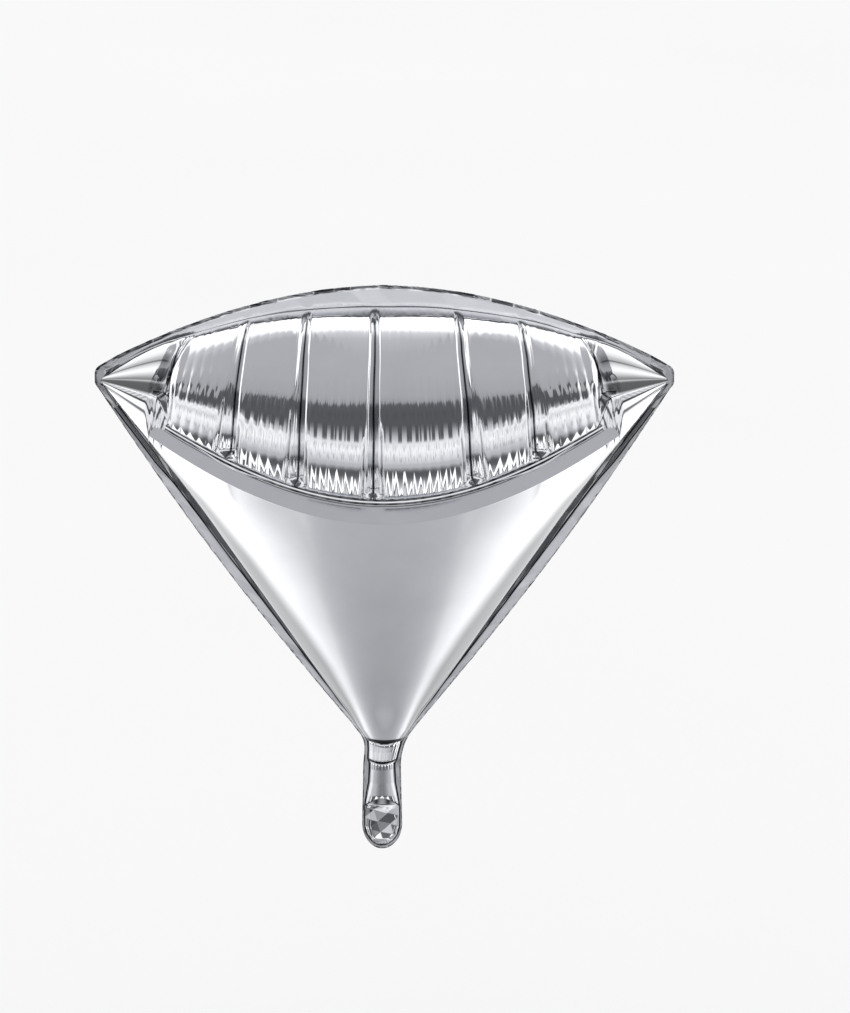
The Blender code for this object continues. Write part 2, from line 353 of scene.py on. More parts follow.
def give_wall(piece: Piece, wall: float, offset: float) -> None:
    """Turns an open sheet into closed film with Solidify, smooth but for its sharp folds.

    Args:
        piece: The sheet.
        wall: The film's thickness.
        offset: -1 puts the wall inside the sheet, 0 half on each side.
    """
    modifier = piece.modifiers.new("Film", "SOLIDIFY")
    modifier.thickness = wall
    modifier.offset = offset
    modifier.use_even_offset = False
    bpy.ops.object.modifier_apply(modifier=modifier.name)
    bpy.ops.object.shade_smooth_by_angle(angle=SHARP_FOLD)


def film(name: str, points: Array, painted_shade: Array, face: Face, wall: float) -> Piece:
    """Builds closed film from a sheet that is modelled at the front.

    Args:
        name: The new object's name.
        points: Rows and columns of places.
        painted_shade: Shade painted on each vertex, from 0 to 1.
        face: Which way the film looks; one at the back is mirrored.
        wall: The film's thickness, inside the sheet.

    Returns:
        The object.
    """
    piece = sheet(name, points, painted_shade)
    if face is Face.BACK:
        turn_to_back(piece)
    give_wall(piece, wall, -1)
    return piece


# Finishes


@dataclass(frozen=True)
class MirrorFilm:
    """Metallised polyester film: a very thin coat of aluminium on clear film, drawn tight by air.

    It gives the eye a clean mirror with a trace of haze, and a very fine wrinkle where it is gathered.
    """

    name: str = "metallised polyester film"
    face: str = "#ECEDEF"
    haze: str = "#DFE0E3"
    # The colour of painted shade, mixed in where folds, seams and dark reflections are painted.
    painted_shade: str = "#17181A"
    roughness: tuple[float, float] = (0.035, 0.075)
    haze_size: float = 45 * MM
    wrinkle_size: float = 7 * MM
    wrinkle_height: float = 0.012 * MM

    def material(self) -> bpy.types.Material:
        """Builds the node material.

        Returns:
            The material.
        """
        made = bpy.data.materials.new(self.name)
        made.use_nodes = True
        tree = made.node_tree
        shader = tree.nodes["Principled BSDF"]
        place = add_node(tree, "ShaderNodeTexCoord").outputs["Object"]
        haze = add_node(
            tree, "ShaderNodeTexNoise", {"Vector": place, "Scale": 1 / self.haze_size, "Detail": 3.0}
        ).outputs["Fac"]
        clouded = add_node(
            tree, "ShaderNodeMix",
            {"Factor": haze, "A": linear(self.face), "B": linear(self.haze)}, data_type="RGBA",
        )
        # Painted shade: the vertex attribute mixes the mirror's colour towards the dark colour.
        depth = add_node(tree, "ShaderNodeAttribute", attribute_name="painted_shade")
        colour = add_node(
            tree, "ShaderNodeMix",
            {"Factor": depth.outputs["Fac"], "A": clouded.outputs["Result"], "B": linear(self.painted_shade)},
            data_type="RGBA",
        )
        clear, hazy = self.roughness
        rough = add_node(
            tree, "ShaderNodeMapRange",
            {"Value": haze, "From Min": 0.3, "From Max": 0.7, "To Min": clear, "To Max": hazy},
        )
        grain = add_node(
            tree, "ShaderNodeTexNoise", {"Vector": place, "Scale": 1 / self.wrinkle_size, "Detail": 4.0}
        )
        wrinkle = add_node(
            tree, "ShaderNodeBump", {"Height": grain.outputs["Fac"], "Distance": self.wrinkle_height}
        )
        tree.links.new(colour.outputs["Result"], shader.inputs["Base Color"])
        tree.links.new(rough.outputs["Result"], shader.inputs["Roughness"])
        tree.links.new(wrinkle.outputs["Normal"], shader.inputs["Normal"])
        shader.inputs["Metallic"].default_value = 1.0
        return made


@dataclass(frozen=True)
class StudioFloor:
    """A matt paper sweep: pale, with no gloss."""

    name: str = "matt white paper"
    colour: str = "#FAFAFA"
    shade: str = "#F7F7F8"
    roughness: float = 0.95
    cloud_size: float = 1.4

    def material(self) -> bpy.types.Material:
        """Builds the node material.

        Returns:
            The material.
        """
        made = bpy.data.materials.new(self.name)
        made.use_nodes = True
        tree = made.node_tree
        shader = tree.nodes["Principled BSDF"]
        place = add_node(tree, "ShaderNodeTexCoord").outputs["Object"]
        cloud = add_node(tree, "ShaderNodeTexNoise", {"Vector": place, "Scale": 1 / self.cloud_size})
        colour = add_node(
            tree, "ShaderNodeMix",
            {"Factor": cloud.outputs["Fac"], "A": linear(self.colour), "B": linear(self.shade)},
            data_type="RGBA",
        )
        tree.links.new(colour.outputs["Result"], shader.inputs["Base Color"])
        shader.inputs["Roughness"].default_value = self.roughness
        shader.inputs["Specular IOR Level"].default_value = 0.0
        return made


# The balloon's seams, which every film and edge starts from


@dataclass(frozen=True)
class Seams:
    """Where the films part and where the sealed edges end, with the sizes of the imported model."""

    corner_x: float = 293.5 * MM
    corner_z: float = 402 * MM
    tip_x: float = 300 * MM
    film_end_x: float = 276 * MM
    top_z: float = 481.5 * MM
    top_fall: float = 68.5 * MM
    top_power: float = 2.3
    top_outer_z: float = 505.4 * MM
    top_outer_fall: float = 79.7 * MM
    top_outer_power: float = 1.85
    top_half: float = 288.5 * MM
    reach: float = 162.5 * MM
    sag: float = 90.5 * MM
    sag_power: float = 1.15
    neck_z: float = 25 * MM
    neck_outer_x: float = 19.6 * MM
    neck_rounding: float = 4 * MM
    side_start_x: float = 22.4 * MM
    side_slope: float = 0.735
    side_bow: float = 10.5 * MM
    side_flange: float = 4.8 * MM
    side_flange_more: float = 9.4 * MM
    side_flange_from_z: float = 30 * MM
    side_end_z: float = 376.5 * MM
    throat_half_x: float = 19 * MM
    throat_half_y: float = 13.8 * MM
    cone_x: float = 233 * MM
    cone_top_x: float = 204 * MM
    cone_lift: float = 23 * MM
    end_low: tuple[float, float] = (293.6 * MM, 404.6 * MM)
    end_high: tuple[float, float] = (286.8 * MM, 414.6 * MM)
    cone_bow: float = 4.5 * MM

    @property
    def plan_radius(self) -> float:
        """Radius of the front seam in plan."""
        return (self.corner_x**2 + self.reach**2) / (2 * self.reach)

    @property
    def plan_centre(self) -> float:
        """How far behind the middle plane the front seam's plan circle has its centre."""
        return self.plan_radius - self.reach

    def top(self, x: Array) -> Array:
        """Height of the line where the two crown films part."""
        return self.top_z - self.top_fall * np.abs(x / self.top_half) ** self.top_power

    def roof(self, x: Array) -> Array:
        """Height of the top of the crown film, which runs straight to the tip beyond the last pinch lines.

        Args:
            x: Places across.

        Returns:
            The heights.
        """
        start_z = self.top(self.cone_top_x)
        share = (np.abs(x) - self.cone_top_x) / (self.end_high[0] - self.cone_top_x)
        cone = np.clip(share, 0, 1)
        straight = mix(start_z, self.end_high[1], cone) + self.cone_bow * 4 * cone * (1 - cone)
        return np.where(share > 0, straight, self.top(x))

    def top_outer(self, x: Array) -> Array:
        """Height of the top edge's outer rim."""
        return self.top_outer_z - self.top_outer_fall * np.abs(x / self.top_half) ** self.top_outer_power

    def girdle(self, x: Array) -> Array:
        """Points of the front seam, which bows forwards in plan and hangs lower in the middle.

        Args:
            x: Places across.

        Returns:
            The points.
        """
        reach = np.sqrt(self.plan_radius**2 - x**2) - self.plan_centre
        rise = np.cos(np.pi / 2 * np.minimum(1.0, np.abs(x / self.corner_x)))
        z = self.corner_z - self.sag * np.maximum(rise, 0) ** self.sag_power
        return np.stack([x, -reach, z], axis=-1)

    def cone_share(self, x: Array) -> Array:
        """How far along a corner's cone a place on the front seam is, from 0 at the last pinch line."""
        return np.clip((np.abs(x) - self.cone_x) / (self.end_low[0] - self.cone_x), 0, 1)

    def girdle_line(self, x: Array) -> Array:
        """Points of the front seam as the films follow it, gathered up at the last pinch lines.

        Args:
            x: Places across.

        Returns:
            The points.
        """
        cone = self.cone_share(x)[..., None]
        start = self.girdle(np.clip(x, -self.cone_x, self.cone_x))
        start[..., 2] += self.cone_lift * ease(np.abs(x), self.cone_x - 16 * MM, self.cone_x)
        end_y, end_z = np.full_like(x, -EDGE_GAP), np.full_like(x, self.end_low[1])
        end = np.stack([np.sign(x) * self.end_low[0], end_y, end_z], axis=-1)
        return mix(start, end, cone)

    def side_outer(self, z: Array) -> Array:
        """Half the width at the outer rim of the side edges.

        Args:
            z: Heights.

        Returns:
            The half widths.
        """
        line = self.side_start_x + self.side_slope * (z - self.neck_z)
        rounded = self.neck_rounding * np.log1p(np.exp((line - self.neck_outer_x) / self.neck_rounding))
        share = np.clip((z - self.neck_z) / (self.corner_z - self.neck_z), 0, 1)
        return self.neck_outer_x + rounded + self.side_bow * np.sin(np.pi * share)

    def side_inner(self, z: Array) -> Array:
        """Half the width at the line where the two lower films part."""
        share = np.clip((z - self.side_flange_from_z) / (self.corner_z - self.side_flange_from_z), 0, 1)
        return self.side_outer(z) - self.side_flange - self.side_flange_more * np.sin(np.pi * share)


SEAMS = Seams()
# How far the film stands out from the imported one, and the walls of film, edges and gathered film
FILM_OUT = 1.3 * MM
FILM_WALL = 0.35 * MM
EDGE_WALL = 0.5 * MM
GATHER_WALL = 0.3 * MM
# How far films stay from the middle plane at their seams and elsewhere, and how far edges reach under them
EDGE_GAP = 0.5 * MM
MIDDLE_GAP = 0.3 * MM
EDGE_TUCK = 0.8 * MM
TAIL_TUCK = 0.9 * MM


@dataclass(frozen=True)
class Pinch:
    """A pinch line of the crown: a valley between two lobes with a deep slot along its bottom, painted dark.

    The wall is half the valley's width at its foot, and the line runs between two shares of the film's
    height.
    """

    top_x: float
    foot_x: float
    wall: float = 11 * MM
    slope: float = 0.95
    slot: float = 1.7 * MM
    start: float = 0.0
    stop: float = 1.0
    slot_width: float = 0.38 * MM
    line_width: float = 0.95 * MM
    narrowing: float = 0.45

    def relief(
        self, column: Array, share: Array, up: Array, down: Array, seed: int
    ) -> tuple[Array, Array]:
        """The valley's shape.

        Args:
            column: Place on the front seam.
            share: 0 at the front seam, 1 at the top seam.
            up: Distance from the front seam.
            down: Distance from the top seam.
            seed: Which wandering the line has.

        Returns:
            Heights, and shade painted along the slot, from 0 to 1.
        """
        lean = np.interp(share, [0, 1], [self.foot_x, self.home(self.top_x)])
        wander = 0.9 * MM * drift(share * 8, seed) * np.sin(np.pi * share)
        aside = column - lean + wander
        scale = mix(1.0, self.narrowing, share**0.8)
        away = np.sqrt(aside**2 + (0.2 * MM) ** 2)
        wall = self.wall * scale
        soft = 0.1 * wall
        begun = ease(share, self.start - 0.02, self.start + 0.03)
        ends = begun * ease(share, self.stop + 0.02, self.stop - 0.04)
        held = ease(up, 0.0, 8 * MM) * ease(down, 5 * MM, 38 * MM) * ends
        height = -self.slope * soft * np.log1p(np.exp((wall - away) / soft)) * held
        turns = aside / (2.7 * MM * mix(1.0, 0.6, share)) + 0.8 * drift(share * 2.5, seed + 1)
        stripes = np.sin(2 * np.pi * turns) * ease(away, 1.25 * wall, 0.8 * wall)
        height += 0.09 * MM * stripes * held * mix(1.0, 0.45, share)
        sunk = ease(up, 0.0, 3 * MM) * ease(down, 14 * MM, 32 * MM) * ends
        height -= self.slot * mix(1.0, 0.6, share) * np.exp(-away / self.slot_width) * sunk
        # Painted shade along the slot's bottom, for the shade in the deep fold.
        painted_shade = np.exp(-((aside / (self.line_width * mix(1.0, 0.75, share))) ** 2)) * sunk
        return height, min(1.0, self.slot / (1.5 * MM)) * painted_shade

    @staticmethod
    def home(top_x: float) -> float:
        """The column whose top end is at this X."""
        return float(np.interp(top_x, CREASE_TOPS, CREASE_FEET))


# Where each crease of the crown stands on the front seam, and where on the top seam, in mm from the middle
CREASES = (
    (-289.4, -289.4), (-231, -202), (-161, -140), (-90, -78), (-11, -9), (93, 74), (160, 140), (231, 205),
    (289.4, 289.4),
)
CREASE_FEET, CREASE_TOPS = (tuple(place * MM for place in places) for places in zip(*CREASES))
PINCHES = tuple(Pinch(top, foot) for top, foot in zip(CREASE_TOPS[1:-1], CREASE_FEET[1:-1]))


def side_folds() -> tuple[Pinch, ...]:
    """The short folds that run beside each pinch line from the front seam upwards and close in on it.

    Returns:
        The folds.
    """
    found = []
    for number, pinch in enumerate(PINCHES):
        for aside, tall, depth in ((-10, 0.3, 0.9), (10.5, 0.25, 0.8)):
            wander = 0.8 * math.sin(2.4 * number + aside)
            foot = pinch.foot_x + (aside + wander) * MM
            top = pinch.top_x + 0.45 * (aside + wander) * MM
            stop = tall * (1 + 0.25 * math.sin(1.7 * number + 2 * aside))
            found.append(
                Pinch(
                    top, foot, wall=2.3 * MM, slope=0.8, slot=depth * MM, stop=stop, line_width=0.6 * MM,
                    narrowing=0.7,
                )
            )
    for pinch in (PINCHES[0], PINCHES[-1]):
        for aside, start, stop in ((-7, 0.3, 0.95), (6, 0.0, 0.9), (-3.5, 0.1, 0.85), (11, 0.4, 0.92)):
            found.append(
                Pinch(
                    pinch.top_x + aside * MM, pinch.foot_x - 0.6 * aside * MM, wall=2.6 * MM, slope=0.75,
                    slot=1.1 * MM, start=start, stop=stop, line_width=0.7 * MM, narrowing=0.7,
                )
            )
    return tuple(found)


SIDE_FOLDS = side_folds()


# Films


@dataclass
class CrownFilm:
    """One upper film: a shell from the front (or back) seam over to the top seam, gathered by pinch lines."""

    face: Face
    seed: int
    leave_angle: float = math.radians(70)
    arrive_angle: float = math.radians(48)
    handle: float = 0.42
    end_x: float = 289.4 * MM
    scallop: float = 10 * MM
    scallop_slope: float = math.tan(math.radians(7.5))
    wave_height: float = 0.4 * MM
    column_step: float = 1.25 * MM
    row_step: float = 0.021

    def columns(self) -> Array:
        """Places along the front seam, dense at the pinch lines.

        Returns:
            The places, from left to right.
        """

        def dense(x: Array) -> Array:
            """How much closer together the columns are at a place."""
            near = sum(np.exp(-((x - p.foot_x) / (14 * MM)) ** 6) for p in PINCHES)
            cone = ease(np.abs(x), SEAMS.cone_x + 3 * MM, SEAMS.cone_x + 14 * MM)
            return 1 + 1.6 * np.minimum(near, 1) - 0.45 * cone

        return stations(-self.end_x, self.end_x, self.column_step, dense)

    def rows(self) -> Array:
        """Shares of the way from the front seam to the top seam, dense at both and in the lower gathers.

        Returns:
            The shares, from 0 to 1.
        """

        def dense(share: Array) -> Array:
            """How much closer together the rows are at a share."""
            return (
                1 + 1.6 * ease(share, 0.06, 0.02) + 0.5 * ease(share, 0.4, 0.3)
                + 2.2 * ease(share, 0.9, 0.95)
            )

        return stations(0, 1, self.row_step, dense)

    def base(self, column: Array, share: Array) -> Array:
        """The film's inner surface without its wrinkles: lobes, then a cone to each corner.

        Args:
            column: Place on the front seam.
            share: 0 at the front seam, 1 at the top seam.

        Returns:
            Points.
        """
        cone_x = SEAMS.cone_x
        held = np.clip(column, -cone_x, cone_x)
        low = SEAMS.girdle_line(held)
        top_x = np.interp(held, CREASE_FEET, CREASE_TOPS)
        low_y, low_z = low[..., 1], low[..., 2] + 0.35 * MM
        high_y, high_z = np.full_like(top_x, -EDGE_GAP), SEAMS.top(top_x)
        chord = np.hypot(high_y - low_y, high_z - low_z)
        slope = np.arctan2(high_z - low_z, high_y - low_y)
        reach = self.handle * chord
        first_y = low_y + reach * np.cos(slope + self.leave_angle)
        first_z = low_z + reach * np.sin(slope + self.leave_angle)
        last_y = high_y - reach * np.cos(slope - self.arrive_angle)
        last_z = high_z - reach * np.sin(slope - self.arrive_angle)
        rest = 1 - share
        weights = (rest**3, 3 * rest**2 * share, 3 * rest * share**2, share**3)
        y = sum(w * v for w, v in zip(weights, (low_y, first_y, last_y, high_y)))
        z = sum(w * v for w, v in zip(weights, (low_z, first_z, last_z, high_z)))
        lobe = np.stack([mix(held, top_x, share), y, z], axis=-1)
        cone = np.clip((np.abs(column) - cone_x) / (self.end_x - cone_x), 0, 1)
        end_x = np.sign(column) * mix(SEAMS.end_low[0], SEAMS.end_high[0], share)
        end_z = mix(SEAMS.end_low[1], SEAMS.end_high[1], share)
        end_y = -EDGE_GAP - 1.8 * MM * np.sin(np.pi * share)
        end = np.stack([end_x, end_y, end_z], axis=-1)
        bow = SEAMS.cone_bow * 4 * cone * (1 - cone) * share
        found = mix(lobe, end, cone[..., None])
        found[..., 2] += bow
        return found

    def wrinkles(self, column: Array, share: Array) -> tuple[Array, Array]:
        """The film's wrinkles: how far each point stands out, and the shade painted on it.

        Args:
            column: Place on the front seam.
            share: 0 at the front seam, 1 at the top seam.

        Returns:
            Heights, and painted shade from 0 to 1.
        """
        seam = SEAMS.girdle(column)
        girth = 1.2 * np.hypot(seam[..., 1], SEAMS.top(column) - seam[..., 2])
        girth = np.maximum(girth, 60 * MM)
        up = girth * share
        down = girth * (1 - share)
        height = self.wave_height * swell(column / (60 * MM), up / (70 * MM), self.seed)
        painted_shade = np.zeros_like(column)
        for number, pinch in enumerate(PINCHES + SIDE_FOLDS):
            more, painted_dark = pinch.relief(column, share, up, down, self.seed + 3 * number)
            height += more
            painted_shade = np.maximum(painted_shade, painted_dark)
        height += self.scallops(column, share) + self.creases(column, down)
        return height, np.maximum(painted_shade, self.cone_shade(column, share))

    def clear_of_pinches(self, column: Array) -> Array:
        """1 on the lobes and 0 in the pinch lines."""
        near = sum(np.exp(-((column - p.foot_x) / (9 * MM)) ** 4) for p in PINCHES)
        return 1 - np.minimum(near, 1)

    def scallops(self, column: Array, share: Array) -> Array:
        """The gathers that the front seam makes: shallow upright pillows, with a crease between each two.

        Args:
            column: Place on the front seam.
            share: 0 at the front seam, 1 at the top seam.

        Returns:
            Heights.
        """
        turns = column / self.scallop + 0.15 * drift(column / (31 * MM), self.seed + 31)
        aside = turns - np.floor(turns) - 0.5
        turned = 1 / np.sqrt(1 - np.minimum(np.abs(column), SEAMS.cone_x) ** 2 / SEAMS.plan_radius**2)
        pillow = -self.scallop_slope * turned * self.scallop * aside**2
        return pillow * mix(1.0, 0.2, ease(share, 0.4, 0.6)) * self.clear_of_pinches(column)

    def creases(self, column: Array, down: Array) -> Array:
        """Fine creases under the top seam.

        Args:
            column: Place on the front seam.
            down: Distance from the top seam.

        Returns:
            Heights.
        """
        fine = zigzag(column / (5.2 * MM) + 0.6 * drift(column / (17 * MM), self.seed + 41))
        rough = drift(column / (3.1 * MM), self.seed + 42)
        top = 0.1 * MM * fine * np.exp(-down / (9 * MM))
        top += 0.2 * MM * rough * np.exp(-(((down - 21 * MM) / (9 * MM)) ** 2))
        return top * ease(down, 0.0, 2 * MM)

    def cone_shade(self, column: Array, share: Array) -> Array:
        """Shade painted on each corner's cone, in bands and a dark line that run together at the tip: how
        dark each point is.

        Args:
            column: Place on the front seam.
            share: 0 at the front seam, 1 at the top seam.

        Returns:
            Depths from 0 to 1.
        """
        # Painted shade standing in for the cone's dark reflections: a dark lower band, a dark line and a grey
        # band named haze.
        cone = ease(np.abs(column), SEAMS.cone_x - 1 * MM, SEAMS.cone_x + 3 * MM)
        low = 0.9 * ease(share, 0.35, 0.15) * ease(share, 0.0, 0.04)
        low *= 1 - 0.45 * np.exp(-(((share - 0.165) / 0.012) ** 2))
        line = 0.92 * np.exp(-(((share - 0.43) / 0.028) ** 2))
        haze = 0.62 * np.exp(-(((share - 0.45) / 0.1) ** 2)) + 0.12 * ease(share, 0.5, 0.6)
        return cone * np.maximum(np.maximum(low, haze), line)

    def build(self) -> Piece:
        """Builds the film with its wrinkles and wall.

        Returns:
            The film.
        """
        column, share = np.meshgrid(self.columns(), self.rows())
        base = self.base(column, share)
        height, painted_shade = self.wrinkles(column, share)
        tight = 1 - ease(np.abs(column), SEAMS.cone_x, self.end_x)
        edge = ease(share, 0.0, 0.01) * ease(share, 1.0, 0.992)
        out = FILM_OUT * edge * mix(0.4, 1.0, tight) + height * ease(np.abs(column), 247 * MM, 236 * MM)
        base += normals(base) * out[..., None]
        base[..., 1] = np.minimum(base[..., 1], -MIDDLE_GAP)
        return film(f"crown_{self.face.value}_film", base, painted_shade, self.face, FILM_WALL)


@dataclass
class BodyFilm:
    """One lower film: a tapering shell from the throat up to the front (or back) seam and the corners.

    The table of its painted grey margin has heights, and the margin's width at each, in mm.
    """

    face: Face
    seed: int
    turns: int = 190
    wave_height: float = 0.4 * MM
    bulge: float = 2.6 * MM
    shoulder: float = 4.2 * MM
    painted_grey: tuple[tuple[float, float], ...] = (
        (36, 5), (66, 14.5), (108, 25), (150, 30), (190, 32), (227, 33), (257, 31), (289, 28), (321, 17),
        (353, 10), (390, 3),
    )
    painted_grey_depth: float = 0.64
    painted_dark_width: float = 6 * MM
    painted_dark_depth: float = 0.86

    def rows(self) -> Array:
        """Shares of the way from the throat up, dense at the throat."""
        return stations(-0.006, 1, 0.0125, lambda share: 1 + 5 * ease(share, 0.08, 0.02))

    def base(self, turn: Array, share: Array) -> Array:
        """The film's inner surface without its wrinkles.

        Args:
            turn: -1 at the left edge, 1 at the right edge.
            share: 0 at the throat, 1 at the front seam.

        Returns:
            Points.
        """
        plan = turn * math.asin(SEAMS.corner_x / SEAMS.plan_radius)
        high = SEAMS.girdle(SEAMS.plan_radius * np.sin(plan))
        low_x = SEAMS.throat_half_x * np.sin(turn * np.pi / 2)
        low_y = -EDGE_GAP - SEAMS.throat_half_y * np.cos(turn * np.pi / 2)
        z = mix(SEAMS.neck_z, high[..., 2], share)
        risen = (z - SEAMS.neck_z) / (SEAMS.corner_z - SEAMS.neck_z)
        straight = mix(SEAMS.throat_half_x, SEAMS.corner_x, risen)
        x = mix(low_x, high[..., 0], share)
        x += np.sign(turn) * np.abs(turn) ** 3 * (SEAMS.side_inner(z) - straight)
        y = np.minimum(mix(low_y, high[..., 1], share), -EDGE_GAP)
        return np.stack([x, y, z], axis=-1)

    def painted_margin_shade(self, x: Array, z: Array) -> Array:
        """Shade painted on the margin that the side seams hold, from 0 to 1: a grey strip, and a dark line at
        the seam.

        Args:
            x: Places across.
            z: Heights.

        Returns:
            Painted shade from 0 to 1.
        """
        heights, widths = (np.array(values) * MM for values in zip(*self.painted_grey))
        margin = SEAMS.side_inner(z) - np.abs(x)
        # Painted shade: a grey strip by the side seam and a dark line at the film's edge, standing in for
        # shade and dark reflections.
        painted_grey = self.painted_grey_depth * ease(margin / np.interp(z, heights, widths), 1.32, 0.72)
        painted_dark = self.painted_dark_width * ease(z, 280 * MM, 205 * MM) * ease(z, 30 * MM, 60 * MM)
        return np.maximum(painted_grey, self.painted_dark_depth * ease(margin, painted_dark, painted_dark - 1.2 * MM))

    def build(self) -> Piece:
        """Builds the film with its slight waves and wall.

        Returns:
            The film.
        """
        turns = np.sin(np.pi / 2 * np.linspace(-1, 1, self.turns))
        turn, share = np.meshgrid(turns, self.rows())
        base = self.base(turn, share)
        x, z = base[..., 0].copy(), base[..., 2].copy()
        height = self.wave_height * swell(x / (85 * MM), z / (110 * MM), self.seed)
        height += self.bulge * 4 * share * (1 - share)
        ridge = np.exp(-(((np.abs(x) - 152 * MM) / (36 * MM)) ** 2))
        height += self.shoulder * ridge * ease(share, 0.6, 0.86)
        height *= ease(share, 0.0, 0.15) * ease(np.abs(turn), 0.96, 0.76)
        margin = ease(np.abs(turn), 0.86, 0.97) * (1 - ease(np.abs(turn), 0.99, 1.0))
        height += 0.25 * MM * margin * facets(z / (26 * MM), np.sign(turn) * 2 + turn * 6, self.seed + 1)
        edge = (1 - np.abs(turn) ** 12) ** 0.5
        base += normals(base) * (FILM_OUT * edge + height)[..., None]
        base[..., 1] = np.minimum(base[..., 1], -MIDDLE_GAP)
        # Painted shade at the throat, where the film runs into the tail.
        throat = 0.95 * ease(base[..., 2] - 2.6 * MM * turn**2, 26.2 * MM, 25 * MM)
        painted_shade = np.maximum(self.painted_margin_shade(base[..., 0], base[..., 2]), throat)
        return film(f"body_{self.face.value}_film", base, painted_shade, self.face, FILM_WALL)


# Sealed edges


@dataclass
class GirdleEdge:
    """The sealed edge along the front (or back) seam: a stepped weld, then a flange that hangs outwards.

    Each step of the weld has its way out and its way down, in mm, and the shade painted on it.
    """

    face: Face
    seed: int
    root: float = 2.1 * MM
    width: float = 25.5 * MM
    width_end: float = 13 * MM
    tilt: float = math.radians(45)
    tilt_end: float = math.radians(50)
    weld: tuple[tuple[float, float, float], ...] = (
        (0.2, -1.8, 1.0), (1.4, -1.7, 1.0), (1.7, -0.2, 1.0), (1.8, 0.2, 0.0), (1.9, 1.4, 0.0),
        (1.9, 1.8, 1.0), (2.0, 3.6, 1.0), (2.1, 4.1, 0.15), (2.2, 4.6, 0.0),
    )
    flat_rows: int = 7

    def build(self) -> Piece:
        """Builds the edge from its root at the film out to its rim.

        Returns:
            The edge.
        """
        columns = stations(-SEAMS.cone_x, SEAMS.cone_x, 1.3 * MM, np.ones_like)
        root = SEAMS.girdle(columns)
        away = unit(np.stack([columns, root[:, 1] - SEAMS.plan_centre, np.zeros_like(columns)], axis=-1))
        middle = np.cos(np.pi / 2 * columns / SEAMS.corner_x)
        tilt = mix(self.tilt_end, self.tilt, middle)
        width = mix(self.width_end, self.width, middle)
        down = np.array([0.0, 0.0, -1.0])
        outwards = away * np.cos(tilt)[:, None] + down * np.sin(tilt)[:, None]
        rim = root + (self.root + width)[:, None] * outwards
        steps = [root + away * out * MM + down * drop * MM for out, drop, _ in self.weld]
        flat = [mix(steps[-1], rim, row / self.flat_rows) for row in range(1, self.flat_rows + 1)]
        points = np.stack((steps + flat)[::-1])
        # Painted shade on the weld's steps, for the shade under the stepped seam.
        beads = 0.9 + 0.1 * drift(columns / (4 * MM), self.seed)
        painted_shade = np.array([painted_dark for _, _, painted_dark in self.weld] + [0.0] * self.flat_rows)[::-1, None] * beads
        share = np.linspace(1, 0, self.flat_rows + 1)[:-1]
        share = np.concatenate([share, np.zeros(len(steps))])[:, None]
        height = 0.16 * MM * facets(columns / (30 * MM) + share, share * 1.2 + columns / (60 * MM), self.seed)
        points = points + normals(points) * (height * share)[..., None]
        return film(f"crown_{self.face.value}_edge", points, painted_shade, self.face, EDGE_WALL)


@dataclass
class GatherEdge:
    """The seam's edge beyond the last pinch line: strips that run together at the tip, and ends that hang.

    Each hanging end has its place across and its half width, in mm. Each strip has its share of the way down
    to the rim, and the shade painted there.
    """

    face: Face
    side: Side
    start_x: float = 217 * MM
    end_x: float = 292 * MM
    fine_to_x: float = 243 * MM
    drop: float = 2.5 * MM
    forward: float = 2.2 * MM
    hang: float = 25 * MM
    ends: tuple[tuple[float, float], ...] = ((226.3, 4.6), (234.3, 3.2), (239.6, 3.2))
    strips: tuple[tuple[float, float], ...] = (
        (0.0, 0.0), (0.05, 0.0), (0.07, 0.45), (0.28, 0.4), (0.31, 0.95), (0.4, 0.95),
        (0.43, 0.0), (0.74, 0.0), (0.78, 0.85), (0.9, 0.75), (0.93, 0.05), (1.0, 0.05),
    )

    def build(self) -> Piece:
        """Builds the strip from the film's foot down to its rim.

        Returns:
            The strip.
        """
        near = np.linspace(self.start_x, self.fine_to_x, 64)
        across = np.concatenate([near, np.linspace(self.fine_to_x, self.end_x, 30)[1:]])
        x = self.side.value * across
        if self.side is Side.LEFT:
            x = x[::-1]
        root = SEAMS.girdle_line(x)
        root[:, 2] += 0.5 * MM
        size = (1 - SEAMS.cone_share(x))[:, None]
        rim = SEAMS.girdle(x)
        rim[:, 2] -= self.drop * size[:, 0]
        rim = np.where(size < 0.04, root, rim)
        down = np.zeros_like(x)
        for place, half in self.ends:
            down = np.maximum(down, 1 - np.abs(np.abs(x) / MM - place) / half)
        bunch = ease(np.abs(x), 219 * MM, 223 * MM) * ease(np.abs(x), 244.5 * MM, 241.5 * MM)
        rim[:, 2] -= self.hang * (0.3 * bunch + 0.7 * down)
        share = np.linspace(0, 1, 41)[:, None]
        points = mix(root[None], rim[None], share[..., None])
        away = unit(np.stack([x, rim[:, 1] - SEAMS.plan_centre, np.zeros_like(x)], axis=-1))
        inside = ease(np.abs(x), self.start_x, self.start_x + 9 * MM)
        lift = self.forward * size[:, 0] * (0.4 + share) * (0.25 + 0.75 * inside)
        crease = np.abs(zigzag(np.abs(x) / (5.6 * MM) + share * 0.25)) * ease(np.abs(x), 246 * MM, 236 * MM)
        points = points + away * (lift + 1.6 * MM * crease * inside * share**0.3)[..., None]
        # Painted shade: dark strips, a hatch and slanting stripes stand in for the shade and dark reflections
        # of the gathered film.
        strip_shade = np.interp(share, *zip(*self.strips))
        hatch = 0.25 * zigzag(np.abs(x) / (2.4 * MM) + 5 * share) * (share < 0.3)
        cone = strip_shade + np.where(strip_shade > 0.1, hatch, 0)
        slant = np.abs(x) / (4.1 * MM) - 1.6 * share + 0.5 * drift(np.abs(x) / (9 * MM), 7)
        stripe = ease(zigzag(slant), 0.15, 0.6)
        painted_shade = mix(stripe * 0.9, cone, ease(np.abs(x), 232 * MM, 238 * MM))
        name = f"crown_{self.face.value}_{self.side.word}_gather"
        return film(name, points[::-1], painted_shade[::-1], self.face, GATHER_WALL)


